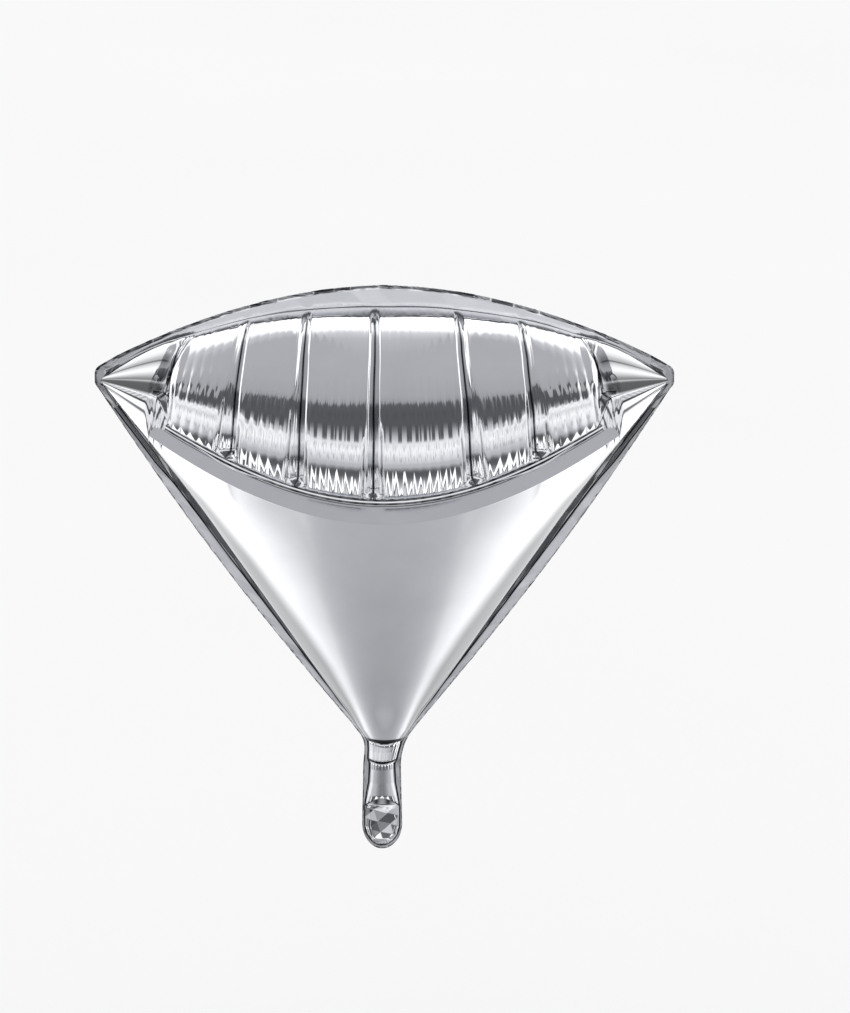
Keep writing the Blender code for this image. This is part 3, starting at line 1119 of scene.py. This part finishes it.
@dataclass
class RimEdge:
    """A sealed edge in the middle plane between a film line and an outer rim, with a crinkled hem.

    Lines are dark lines painted along the film, for the shade at the seam: for each, its distance, its half
    width and its painted depth. Near a corner they lie further out by line_shift.
    """

    name: str
    inner: Array
    outer: Array
    seed: int
    hem: float = 4.4 * MM
    hem_height: float = 0.8 * MM
    hem_cell: float = 23 * MM
    hem_shade_depth: float = 0.92
    shade: float = 0.0
    lines: tuple[tuple[float, float, float], ...] = ()
    line_shift: float = 0.0
    lean: float = 0.6 * MM
    flat_height: float = 0.22 * MM
    flat_cell: float = 30 * MM
    middle_rows: int = 14

    def shares(self, width: float) -> Array:
        """Shares of the way from the film to the rim, close together at both ends.

        Args:
            width: The edge's greatest width.

        Returns:
            The shares, from 0 to 1.
        """
        film_side = np.concatenate([np.arange(0, 2.0, 0.4), np.arange(2.0, 5.6, 0.45)]) * MM / width
        rim_side = 1 - np.linspace(self.hem * 1.15, 0, 9) / width
        film_side = film_side[film_side < rim_side[0] - 0.02]
        middle = np.linspace(film_side[-1], rim_side[0], self.middle_rows)[1:-1]
        return np.concatenate([film_side, middle, rim_side])

    def hem_painted_shade(self, place: Array, from_rim: Array) -> Array:
        """The shade painted in the hem's pockets, each a long dark lens with a bright notch before the next.

        Args:
            place: Distance along the edge.
            from_rim: Distance from the rim.

        Returns:
            Depths in a fold, from 0 to 1.
        """
        turns = place / self.hem_cell + 0.8 * drift(place / (1.9 * self.hem_cell), self.seed + 1)
        cell = np.floor(turns)
        along = 1 - np.abs(2 * (turns - cell) - 1) ** 6
        level = from_rim / self.hem
        across = 1 - (2 * np.clip(level / (0.85 + 0.15 * drift(cell, self.seed + 5)), 0, 1) - 1) ** 2
        strength = 0.78 + 0.22 * drift(cell, self.seed + 6)
        return self.hem_shade_depth * strength * ease(along * across, 0.03, 0.25)

    def build(self) -> Piece:
        """Builds the edge from its inner and outer lines, each a list of X, Z points of equal length.

        Returns:
            The edge.
        """
        width = np.linalg.norm(self.outer - self.inner, axis=1)
        middle = (self.inner + self.outer) / 2
        steps = np.linalg.norm(np.diff(middle, axis=0), axis=1)
        along = np.concatenate([[0.0], np.cumsum(steps)])
        widest = float(width.max())
        share = self.shares(widest)[:, None]
        flat = mix(self.inner[None], self.outer[None], share[..., None])
        from_film = share * width
        from_rim = (1 - share) * width
        place = np.broadcast_to(along, (len(share), len(along)))
        across = place / self.flat_cell + from_film / (30 * MM)
        relief = self.flat_height * facets(across, share * 1.3, self.seed)
        relief *= ease(from_film, 0.0, 5 * MM)
        inside_hem = ease(from_rim, self.hem, self.hem * 0.55)
        crinkle = facets(place / (0.6 * self.hem_cell), from_rim / self.hem * 1.7, self.seed + 2)
        crinkle += 0.5 * facets(place / (5 * MM), from_rim / (2 * MM), self.seed + 3)
        relief += self.hem_height * inside_hem * crinkle
        relief -= self.lean * np.exp(-from_film / (1.3 * MM))
        # Painted shade: grey over the edge, darker towards the corners, then painted shade in the hem's
        # pockets and along the lines.
        painted_grey = self.shade + 0.32 * ease(np.abs(flat[..., 0]), 200 * MM, 275 * MM)
        painted_shade = np.maximum(painted_grey, self.hem_painted_shade(place, from_rim) * (from_rim < self.hem))
        shift = self.line_shift * ease(flat[..., 1], 290 * MM, 325 * MM)
        shift += 0.25 * MM * drift(place / (14 * MM), self.seed + 7)
        for distance, half, depth in self.lines:
            aside = np.abs(from_film - shift - distance)
            painted_shade = np.maximum(painted_shade, depth * ease(aside, half * 1.25, half * 0.8))
        points = np.stack([flat[..., 0], relief, flat[..., 1]], axis=-1)
        piece = sheet(self.name, points, painted_shade)
        give_wall(piece, EDGE_WALL, 0)
        return piece


def top_edge() -> RimEdge:
    """The sealed edge above the crown films, between the corners.

    Returns:
        The edge.
    """
    x = np.linspace(-SEAMS.film_end_x, SEAMS.film_end_x, 420)
    inner = np.stack([x, SEAMS.roof(x) - EDGE_TUCK], axis=-1)
    outer = np.stack([x, SEAMS.top_outer(x)], axis=-1)
    return RimEdge("top_edge", inner, outer, seed=71, lean=0.0)


def side_edge(side: Side) -> RimEdge:
    """The sealed edge between a corner and the throat.

    Args:
        side: Which one.

    Returns:
        The edge, whose lines run up on the left side and down on the right, so that it faces the front.
    """
    z = np.linspace(SEAMS.neck_z, SEAMS.side_end_z, 300)
    inner = np.stack([side.value * (SEAMS.side_inner(z) - EDGE_TUCK), z], axis=-1)
    outer = np.stack([side.value * SEAMS.side_outer(z), z], axis=-1)
    if side is Side.RIGHT:
        inner, outer = inner[::-1], outer[::-1]
    return RimEdge(
        f"{side.word}_side_edge", inner, outer, seed=81 + side.value, hem=2.0 * MM, hem_height=0.3 * MM,
        hem_cell=9 * MM, hem_shade_depth=0.6, shade=0.12, flat_cell=17 * MM, line_shift=3.4 * MM,
        lines=((-1.9 * MM, 2.2 * MM, 0.75), (1.2 * MM, 1.0 * MM, 1.0)),
    )


def corner_edge(side: Side) -> RimEdge:
    """The rounded sealed tab at a corner, from the side edge round to the top edge.

    Args:
        side: Which one.

    Returns:
        The edge.
    """
    radius = 9.5 * MM
    shoulder = 7.5 * MM
    centre_x, centre_z = SEAMS.tip_x - radius, SEAMS.corner_z + 3 * MM
    turn = np.linspace(math.radians(-50), math.radians(62), 48)
    raised = np.where(turn > 0, shoulder, 0.0)
    low_z = np.linspace(SEAMS.side_end_z, centre_z + radius * math.sin(turn[0]), 12)[:-1]
    high_x = np.linspace(centre_x + radius * math.cos(turn[-1]), SEAMS.film_end_x, 14)[1:]
    last_z = centre_z + shoulder + radius * math.sin(turn[-1])
    high_z = np.linspace(last_z, float(SEAMS.top_outer(SEAMS.film_end_x)), 14)[1:]
    outer_x = np.concatenate([SEAMS.side_outer(low_z), centre_x + radius * np.cos(turn), high_x])
    outer_z = np.concatenate([low_z, centre_z + raised + radius * np.sin(turn), high_z])
    bend_x = 289 * MM
    film_z = np.linspace(SEAMS.side_end_z, SEAMS.end_low[1], 26)
    film_x = np.minimum(SEAMS.side_inner(film_z), bend_x)
    roof_x = np.linspace(bend_x, SEAMS.film_end_x, 26)[1:]
    roof_ends = [SEAMS.roof(SEAMS.film_end_x), SEAMS.end_high[1]]
    roof_z = np.interp(roof_x, [SEAMS.film_end_x, bend_x], roof_ends)
    inner_x = np.concatenate([film_x, roof_x]) - EDGE_TUCK
    inner_z = np.concatenate([film_z, roof_z])
    count = len(outer_x)
    old = np.linspace(0, 1, len(inner_x))
    new = np.linspace(0, 1, count)
    inner = np.stack([side.value * np.interp(new, old, inner_x), np.interp(new, old, inner_z)], axis=-1)
    outer = np.stack([side.value * outer_x, outer_z], axis=-1)
    if side is Side.RIGHT:
        inner, outer = inner[::-1], outer[::-1]
    return RimEdge(
        f"{side.word}_corner_edge", inner, outer, seed=91 + side.value, hem=3.6 * MM, hem_height=0.5 * MM,
        hem_cell=6.5 * MM, hem_shade_depth=1.0, shade=0.15, flat_cell=9 * MM, flat_height=0.3 * MM,
    )


# Tail


@dataclass(frozen=True)
class TailShape:
    """The tail's outline, from the throat down: each section's height, half width and half depth, in mm."""

    sections: tuple[tuple[float, float, float], ...] = (
        (25.5, 19.4, 13.9), (21.4, 17.6, 12.0), (20, 17.0, 11.7), (11, 15.7, 11.9), (1.6, 14.9, 12.5),
        (0.0, 14.2, 12.3), (-2.4, 13.0, 12.4), (-8, 12.8, 11.9), (-23, 13.6, 10.9), (-37, 15.9, 9.9),
        (-43.7, 17.0, 8.4), (-47.8, 17.6, 6.0), (-58.5, 17.8, 1.4), (-71, 17.6, 1.2), (-81, 14.7, 1.0),
        (-87, 10.2, 0.9), (-90.1, 5.7, 0.8),
    )
    round_z: float = -68 * MM
    outer_x: float = 21 * MM
    outer_drop: float = 27.5 * MM
    inner_drop: float = 21.7 * MM
    mouth_z: float = -39.5 * MM
    mouth_drop: float = 8 * MM
    line_z: float = -47.8 * MM
    lean: float = -3 * MM

    def middle(self, z: Array) -> Array:
        """The X of the tail's middle at each height: the soft tail hangs a little to the left."""
        return self.lean * ease(z, 26 * MM, -6 * MM)

    def half(self, z: Array) -> tuple[Array, Array]:
        """Half the width and half the depth at each height.

        Args:
            z: Heights.

        Returns:
            Half widths and half depths.
        """
        order, *sizes = np.array(self.sections[::-1]).T * MM
        fine = np.linspace(order[0], order[-1], 800)
        soft = np.ones(9) / 9
        found = []
        for values in sizes:
            line = np.interp(fine, order, values)
            padded = np.concatenate([np.full(4, line[0]), line, np.full(4, line[-1])])
            found.append(np.interp(z, fine, np.convolve(padded, soft, mode="valid")))
        return found[0], found[1]


TAIL = TailShape()


@dataclass
class TailFilm:
    """One face of the tail: throat, blown-up tube, the tube's mouth, and the crumpled flap below it.

    Each groove round the tube has its height in the middle, its rise to the sides and its half width.
    """

    face: Face
    seed: int
    columns: int = 91
    low_z: float = -90.1
    high_z: float = 24.6
    row_step: float = 0.55
    grooves: tuple[tuple[float, float, float], ...] = (
        (21.6 * MM, 4.4 * MM, 1.5 * MM), (0.2 * MM, 2.0 * MM, 1.0 * MM),
    )

    def build(self) -> Piece:
        """Builds the film with its creases and wall.

        Returns:
            The film.
        """
        turns = np.sin(np.pi / 2 * np.linspace(-1, 1, self.columns))
        heights = np.arange(self.low_z, self.high_z, self.row_step) * MM
        turn, z = np.meshgrid(turns, heights)
        half_width, half_depth = TAIL.half(z)
        x = half_width * turn
        tube = half_depth * np.sqrt(np.maximum(1 - turn**2, 0))
        arc = TAIL.mouth_z - TAIL.mouth_drop * turn**2
        open_air = ease(z, arc - 0.9 * MM, arc)
        across = (x + 0.31 * z) / (12.5 * MM)
        along = (z + 0.25 * x) / (11 * MM)
        crumple = facets(across, along, self.seed)
        border = (1 - np.abs(turn) ** 6) * ease(z, -90 * MM, -84 * MM)
        flap = (2.4 + 2.4 * crumple * ease(z, TAIL.line_z + 1 * MM, TAIL.line_z - 5 * MM)) * MM * border
        lens = ease(z, TAIL.line_z - 0.4 * MM, TAIL.line_z + 1.6 * MM) * (1 - open_air)
        flap -= 0.9 * MM * lens * (1 - turn**2)
        y = -EDGE_GAP - mix(np.maximum(flap, 0.15 * MM), tube, open_air)
        # Painted shade on the flap: a band under the mouth, two darker spots, random dark facets for dark
        # reflections, and the mouth's dark lip.
        spots = np.exp(-(((np.abs(turn) - 0.36) / 0.2) ** 2)) * lens
        tone = tints(across, along, self.seed + 2)
        below = ease(z, TAIL.line_z, TAIL.line_z - 1 * MM) * (1 - open_air)
        lip = ease(z, arc - 2.4 * MM, arc - 1.5 * MM) * ease(z, arc + 1 * MM, arc + 0.3 * MM)
        painted_shade = np.maximum(0.35 * lens + 0.6 * spots + 0.85 * tone * below, 0.92 * lip)
        for line_z, bow, wide in self.grooves:
            above = (z - line_z - bow * turn**2) / wide
            groove = np.exp(-(above**2))
            rim = np.exp(-((above + 2.1) ** 2))
            y += (0.8 * groove - 0.25 * rim) * MM * np.sqrt(np.maximum(1 - turn**2, 0))
            # Painted shade in each groove round the tube.
            painted_shade = np.maximum(painted_shade, np.minimum(2 * groove, 1) * ease(np.abs(turn), 1.0, 0.9))
        points = np.stack([x + TAIL.middle(z), y, z], axis=-1)
        return film(f"tail_{self.face.value}_tube", points, painted_shade, self.face, FILM_WALL)


def tail_edge() -> RimEdge:
    """The sealed edge of the tail, down one side, round the end and up the other.

    Returns:
        The edge.
    """
    legs = np.linspace(SEAMS.neck_z, TAIL.round_z, 90)[:-1]
    turns = np.pi * (1 + np.linspace(0, 1, 60))
    leg_inner = TAIL.half(legs)[0] - TAIL_TUCK
    swell_out = np.clip(-legs / abs(TAIL.round_z), 0, 1)
    leg_outer = mix(SEAMS.side_outer(legs), TAIL.outer_x, swell_out)
    round_inner_x = TAIL.half(np.array([TAIL.round_z]))[0][0] - TAIL_TUCK
    inner = (leg_inner, round_inner_x, TAIL.inner_drop)
    outer = (leg_outer, TAIL.outer_x, TAIL.outer_drop)
    lines = []
    for leg_x, round_x, drop in (inner, outer):
        leg = np.stack([leg_x, legs], axis=-1)
        bend = np.stack([round_x * np.cos(turns), TAIL.round_z + drop * np.sin(turns)], axis=-1)
        line = np.concatenate([leg * (-1, 1), bend, leg[::-1]])[::-1]
        line[:, 0] += TAIL.middle(line[:, 1])
        lines.append(line)
    return RimEdge(
        "tail_edge", *lines, seed=101,
        hem=1.8 * MM, hem_height=0.3 * MM, hem_cell=9 * MM, shade=0.34, lines=((1.5 * MM, 0.75 * MM, 1.0),),
        flat_cell=12 * MM, flat_height=0.3 * MM,
    )


# Studio


@dataclass(frozen=True)
class Band:
    """A band of the studio: its height angle, in degrees, and the tone that the film shows there."""

    angle: float
    tone: str


@dataclass
class Studio:
    """A pale floor, a camera and a soft light tent whose walls, ceiling and dark gaps the film mirrors."""

    image_height: int = 1013
    pixels_per_metre: float = 962.0
    sensor: float = 36.0
    distance: float = 7.0
    elevation: float = math.radians(12)
    aim: tuple[float, float, float] = (42 * MM, 0.0, 271.7 * MM)
    floor_z: float = -0.42
    floor_radius: float = 14.0
    film_reflectance: float = 0.82
    strength: float = 1.5
    white_boost: float = 1.22
    backdrop: str = "#FBFBFB"
    backdrop_strength: float = 1.04

    front: tuple[Band, ...] = (
        Band(-90, "#AEAFB2"), Band(-74, "#ACADB0"), Band(-70, "#A0A1A4"), Band(-66, "#A9AAAD"),
        Band(-62, "#B1B2B5"), Band(-57, "#B7B8BB"), Band(-50, "#C2C3C6"), Band(-43, "#CBCCCF"),
        Band(-37, "#C8C9CC"), Band(-27, "#8C8D90"), Band(-17, "#A9AAAD"), Band(-12, "#CDCED1"),
        Band(-5, "#E6E7E9"), Band(3, "#FDFDFD"), Band(12, "#EDEDEF"), Band(21, "#BCBDC0"),
        Band(30, "#7A7B7E"), Band(36, "#57585B"), Band(48, "#525356"), Band(58.5, "#5B5C5F"),
        Band(61.5, "#9C9DA0"), Band(68, "#A6A7AA"), Band(90, "#ACADB0"),
    )
    wall: tuple[Band, ...] = (
        Band(-90, "#A3A3A6"), Band(-72, "#A8A9AC"), Band(-66, "#C4C5C8"), Band(-60, "#F0F0F2"),
        Band(-57, "#FFFFFF"), Band(-27, "#FFFFFF"), Band(-17, "#DCDDE0"), Band(-11, "#F4F4F5"),
        Band(20, "#FFFFFF"), Band(42, "#FFFFFF"), Band(47, "#C9CACD"), Band(54, "#AEAFB2"),
        Band(90, "#ACADB0"),
    )
    behind: tuple[Band, ...] = (
        Band(-90, "#A3A3A6"), Band(-62, "#BEBFC2"), Band(-52, "#FFFFFF"), Band(-42, "#C6C7CA"),
        Band(-31, "#96979A"), Band(-26, "#58595C"), Band(-16, "#8E8F92"), Band(0, "#939497"),
        Band(18, "#9E9FA2"), Band(24, "#B6B7BA"), Band(29, "#FFFFFF"), Band(48, "#FFFFFF"),
        Band(53, "#D2D3D6"), Band(60, "#B9BABD"), Band(72, "#AFB0B3"), Band(90, "#ACADB0"),
    )
    gap: tuple[Band, ...] = (
        Band(-60, "#D6D7D9"), Band(-50, "#CFD0D3"), Band(-43, "#B4B5B8"), Band(-37, "#88898C"),
        Band(-32, "#606164"), Band(-27, "#56575A"), Band(-24, "#606164"), Band(-21, "#8E8F92"),
        Band(-18, "#B4B5B8"), Band(-13, "#CDCED1"),
    )
    pillow_turn: float = 30.0

    def ramp(self, tree: Tree, height: Value, bands: tuple[Band, ...]) -> Socket:
        """A colour ramp over the height angle, from straight down to straight up.

        Args:
            tree: The world's node tree.
            height: The height angle, in degrees.
            bands: The tones, lowest first.

        Returns:
            The colour.
        """
        node = add_node(tree, "ShaderNodeValToRGB", {"Fac": (height / 180.0 + 0.5).socket})
        elements = node.color_ramp.elements
        while len(elements) > 1:
            elements.remove(elements[-1])
        for number, band in enumerate(bands):
            place = (band.angle + 90) / 180
            stop = elements[0] if number == 0 else elements.new(place)
            stop.position = place
            stop.color = self.seen(band.tone)
        return node.outputs["Color"]

    def build_world(self) -> None:
        """Builds the light tent: what the film mirrors, and a plain pale light for all else."""
        world = bpy.data.worlds.new("light tent")
        bpy.context.scene.world = world
        world.use_nodes = True
        tree = world.node_tree
        tree.nodes.clear()
        way = add_node(tree, "ShaderNodeTexCoord").outputs["Generated"]
        parts = add_node(tree, "ShaderNodeSeparateXYZ", {"Vector": way})

        x, y, z = (Value(parts.outputs[axis]) for axis in "XYZ")
        level = (x * x + y * y).sum("SQRT")
        frontal = y * -1.0 / level.sum("MAXIMUM", 1e-4)
        height = z.sum("ARCTAN2", level) * math.degrees(1)
        turn = x.sum("ARCTAN2", y * -1.0) * math.degrees(1)
        part = ((turn / self.pillow_turn).sum("FRACT") * 2.0 - 1.0).sum("ABSOLUTE")
        noise = self.streaks(tree, turn / 6.0, height / 90.0)
        comb = part.ease(0.52, 0.38) * height.ease(12.5, 17.5) * height.ease(56, 34) * (noise * 6.0 + 12.0)
        ragged = (noise - 0.5) * 9.0 * height.ease(44, 54) * height.ease(76, 68)
        raised = (height * (frontal * -0.45 + 1.45)).sum("MINIMUM", 90.0).sum("MAXIMUM", height)
        aside = turn.sum("ABSOLUTE").ease(32, 56)
        light = aside * -20.0 * height.ease(24, 19) * height.ease(2, 14)
        front_height = height + (raised - height) * height.ease(20, 34) + light + comb + ragged
        front = self.ramp(tree, front_height, self.front)
        wall = self.ramp(tree, height, self.wall)
        behind = self.ramp(tree, height + (noise - 0.5) * 5.0, self.behind)
        cloud = self.streaks(tree, turn / 3.5, height / 14.0).ease(0.5, 0.68)
        smudge = cloud * height.ease(-16, -9) * height.ease(16, 9)
        smudged = self.blend(tree, smudge * 0.45, front, linear("#6E6F72"))
        low = height.ease(-34, -46)
        start = height.ease(-3, 6) * -0.2 + height.ease(34, 42) * -0.3 + low * 0.38 + 0.35
        turned = ((start - frontal) / (low * 1.47 + 0.22)).ease(0.0, 1.0)
        sides = self.blend(tree, turned, smudged, wall)
        tent = self.blend(tree, frontal.ease(-0.977, -0.987), sides, behind)
        tent = self.teeth(tree, tent, turn, height, part)
        mirrored = add_node(tree, "ShaderNodeBackground", {"Color": tent, "Strength": self.strength})
        pale = {"Color": linear(self.backdrop), "Strength": self.backdrop_strength}
        plain = add_node(tree, "ShaderNodeBackground", pale)
        path = add_node(tree, "ShaderNodeLightPath")
        chosen = add_node(
            tree, "ShaderNodeMixShader",
            {
                0: path.outputs["Is Glossy Ray"],
                1: plain.outputs["Background"],
                2: mirrored.outputs["Background"],
            },
        )
        add_node(tree, "ShaderNodeOutputWorld", {"Surface": chosen.outputs["Shader"]})

    def streaks(self, tree: Tree, across: Value, along: Value) -> Value:
        """Noise between 0 and 1 over the given places.

        Args:
            tree: The world's node tree.
            across: First coordinate.
            along: Second coordinate.

        Returns:
            The noise.
        """
        place = add_node(tree, "ShaderNodeCombineXYZ", {"X": across.socket, "Y": along.socket})
        inputs = {"Vector": place.outputs["Vector"], "Scale": 1.0, "Detail": 1.0}
        node = add_node(tree, "ShaderNodeTexNoise", inputs, noise_dimensions="2D")
        return Value(node.outputs["Fac"])

    def blend(self, tree: Tree, share: Value, first: object, second: object) -> Socket:
        """A mix of two colours."""
        inputs = {"Factor": share.socket, "A": first, "B": second}
        return add_node(tree, "ShaderNodeMix", inputs, data_type="RGBA").outputs["Result"]

    def teeth(
        self, tree: Tree, tent: Socket, turn: Value, height: Value, part: Value
    ) -> Socket:
        """Adds the tent's bright scalloped lower edge, which each pillow of film shows as a white tooth.

        Args:
            tree: The world's node tree.
            tent: The tent's colour without it.
            turn: The direction's turn from the front, in degrees.
            height: The direction's height angle, in degrees.
            part: 0 in the middle of a scallop and 1 at both its ends.

        Returns:
            The colour.
        """
        aside_turn = turn.sum("ABSOLUTE")
        side = aside_turn.ease(30, 82)
        line = part.sum("POWER", 1.3) * (side * -9.0 + 25.0) + side * 15.0 - 54.5
        thick = part.ease(0.0, 0.45) * 4.4 + 2.6
        aside = (height - line) / thick
        gap = self.ramp(tree, height, self.gap)
        below = aside.ease(-2.1, -1.5)
        pocket = self.blend(tree, below, self.seen("#D6D7D9"), self.seen("#505154"))
        colour = self.blend(tree, aside.ease(-0.4, 0.4), pocket, gap)
        colour = self.blend(tree, aside.sum("ABSOLUTE").ease(1.15, 0.8), colour, self.seen("#FFFFFF"))
        shown = aside_turn.ease(114, 104) * height.ease(-59, -56.5) * height.ease(-14, -18)
        bare = aside_turn.ease(66, 74) * height.ease(-45, -50)
        return self.blend(tree, shown * bare.rest(), tent, colour)

    def seen(self, tone: str) -> Colour:
        """The tent's colour for a tone that the film is to show.

        Args:
            tone: The tone, as a hex value.

        Returns:
            The colour.
        """
        scale = (self.white_boost if tone == "#FFFFFF" else 1.0) / (self.film_reflectance * self.strength)
        red, green, blue, _ = linear(tone)
        return min(1.0, red * scale), min(1.0, green * scale), min(1.0, blue * scale), 1.0

    def build_floor(self) -> None:
        """Builds the paper floor, a round sweep wider than any view."""
        bpy.ops.object.select_all(action="DESELECT")
        bpy.ops.mesh.primitive_circle_add(
            vertices=96, radius=self.floor_radius, fill_type="NGON", location=(0, 0, self.floor_z)
        )
        floor = bpy.context.object
        floor.name = "floor"
        floor.data.materials.append(StudioFloor().material())
        floor.visible_glossy = False

    def build_camera(self) -> None:
        """Puts the camera in front and a little above, where the photograph was taken from."""
        lens = self.pixels_per_metre * self.distance * self.sensor / self.image_height
        aim_x, aim_y, aim_z = self.aim
        bpy.ops.object.camera_add(
            location=(
                aim_x,
                aim_y - self.distance * math.cos(self.elevation),
                aim_z + self.distance * math.sin(self.elevation),
            ),
            rotation=(math.pi / 2 - self.elevation, 0, 0),
        )
        camera = bpy.context.object
        camera.data.sensor_width = self.sensor
        camera.data.lens = lens
        camera.data.clip_end = 100
        bpy.context.scene.camera = camera

    def build(self) -> None:
        """Builds the camera, the floor and the light tent, and shows tones as they are."""
        self.build_camera()
        self.build_floor()
        self.build_world()
        bpy.context.scene.view_settings.view_transform = "Standard"


def dress(piece: Piece, material: bpy.types.Material, slot: str, *nodes: str) -> None:
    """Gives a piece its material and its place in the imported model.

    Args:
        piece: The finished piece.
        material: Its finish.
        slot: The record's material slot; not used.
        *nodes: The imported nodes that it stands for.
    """
    piece.data.materials.clear()
    piece.data.materials.append(material)
    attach(piece, BODY)
    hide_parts(*nodes)
    LOG.info("%s: %d faces, for %s", piece.name, len(piece.data.polygons), ", ".join(nodes))


def main() -> None:
    """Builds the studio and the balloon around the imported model."""
    logging.basicConfig(level=logging.INFO, format="%(name)s: %(message)s")
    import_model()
    Studio().build()
    foil = MirrorFilm().material()
    sealed = MirrorFilm(
        name="heat-sealed polyester film", face="#EAEBEE", haze="#DEDFE3", roughness=(0.09, 0.16),
        haze_size=30 * MM, wrinkle_size=9 * MM, wrinkle_height=0.03 * MM,
    ).material()
    for seed, face in ((11, Face.FRONT), (211, Face.BACK)):
        word = face.value
        dress(CrownFilm(face, seed).build(), foil, "mirror_foil", f"upper_{word}_panel")
        dress(BodyFilm(face, seed + 50).build(), foil, "mirror_foil", f"lower_{word}_panel")
        dress(GirdleEdge(face, seed + 60).build(), sealed, "sealed_edge", f"{word}_seam")
        for side in Side:
            dress(GatherEdge(face, side).build(), sealed, "sealed_edge", f"{word}_seam")
        dress(TailFilm(face, seed + 70).build(), foil, "mirror_foil", f"tail_{word}_film")
    dress(top_edge().build(), sealed, "sealed_edge", "top_seam")
    for side in Side:
        dress(side_edge(side).build(), sealed, "sealed_edge", f"{side.word}_side_seam")
        dress(corner_edge(side).build(), sealed, "sealed_edge", f"{side.word}_corner_tab")
    dress(tail_edge().build(), sealed, "sealed_edge", "tail_seam")


if __name__ == "__main__":
    main()
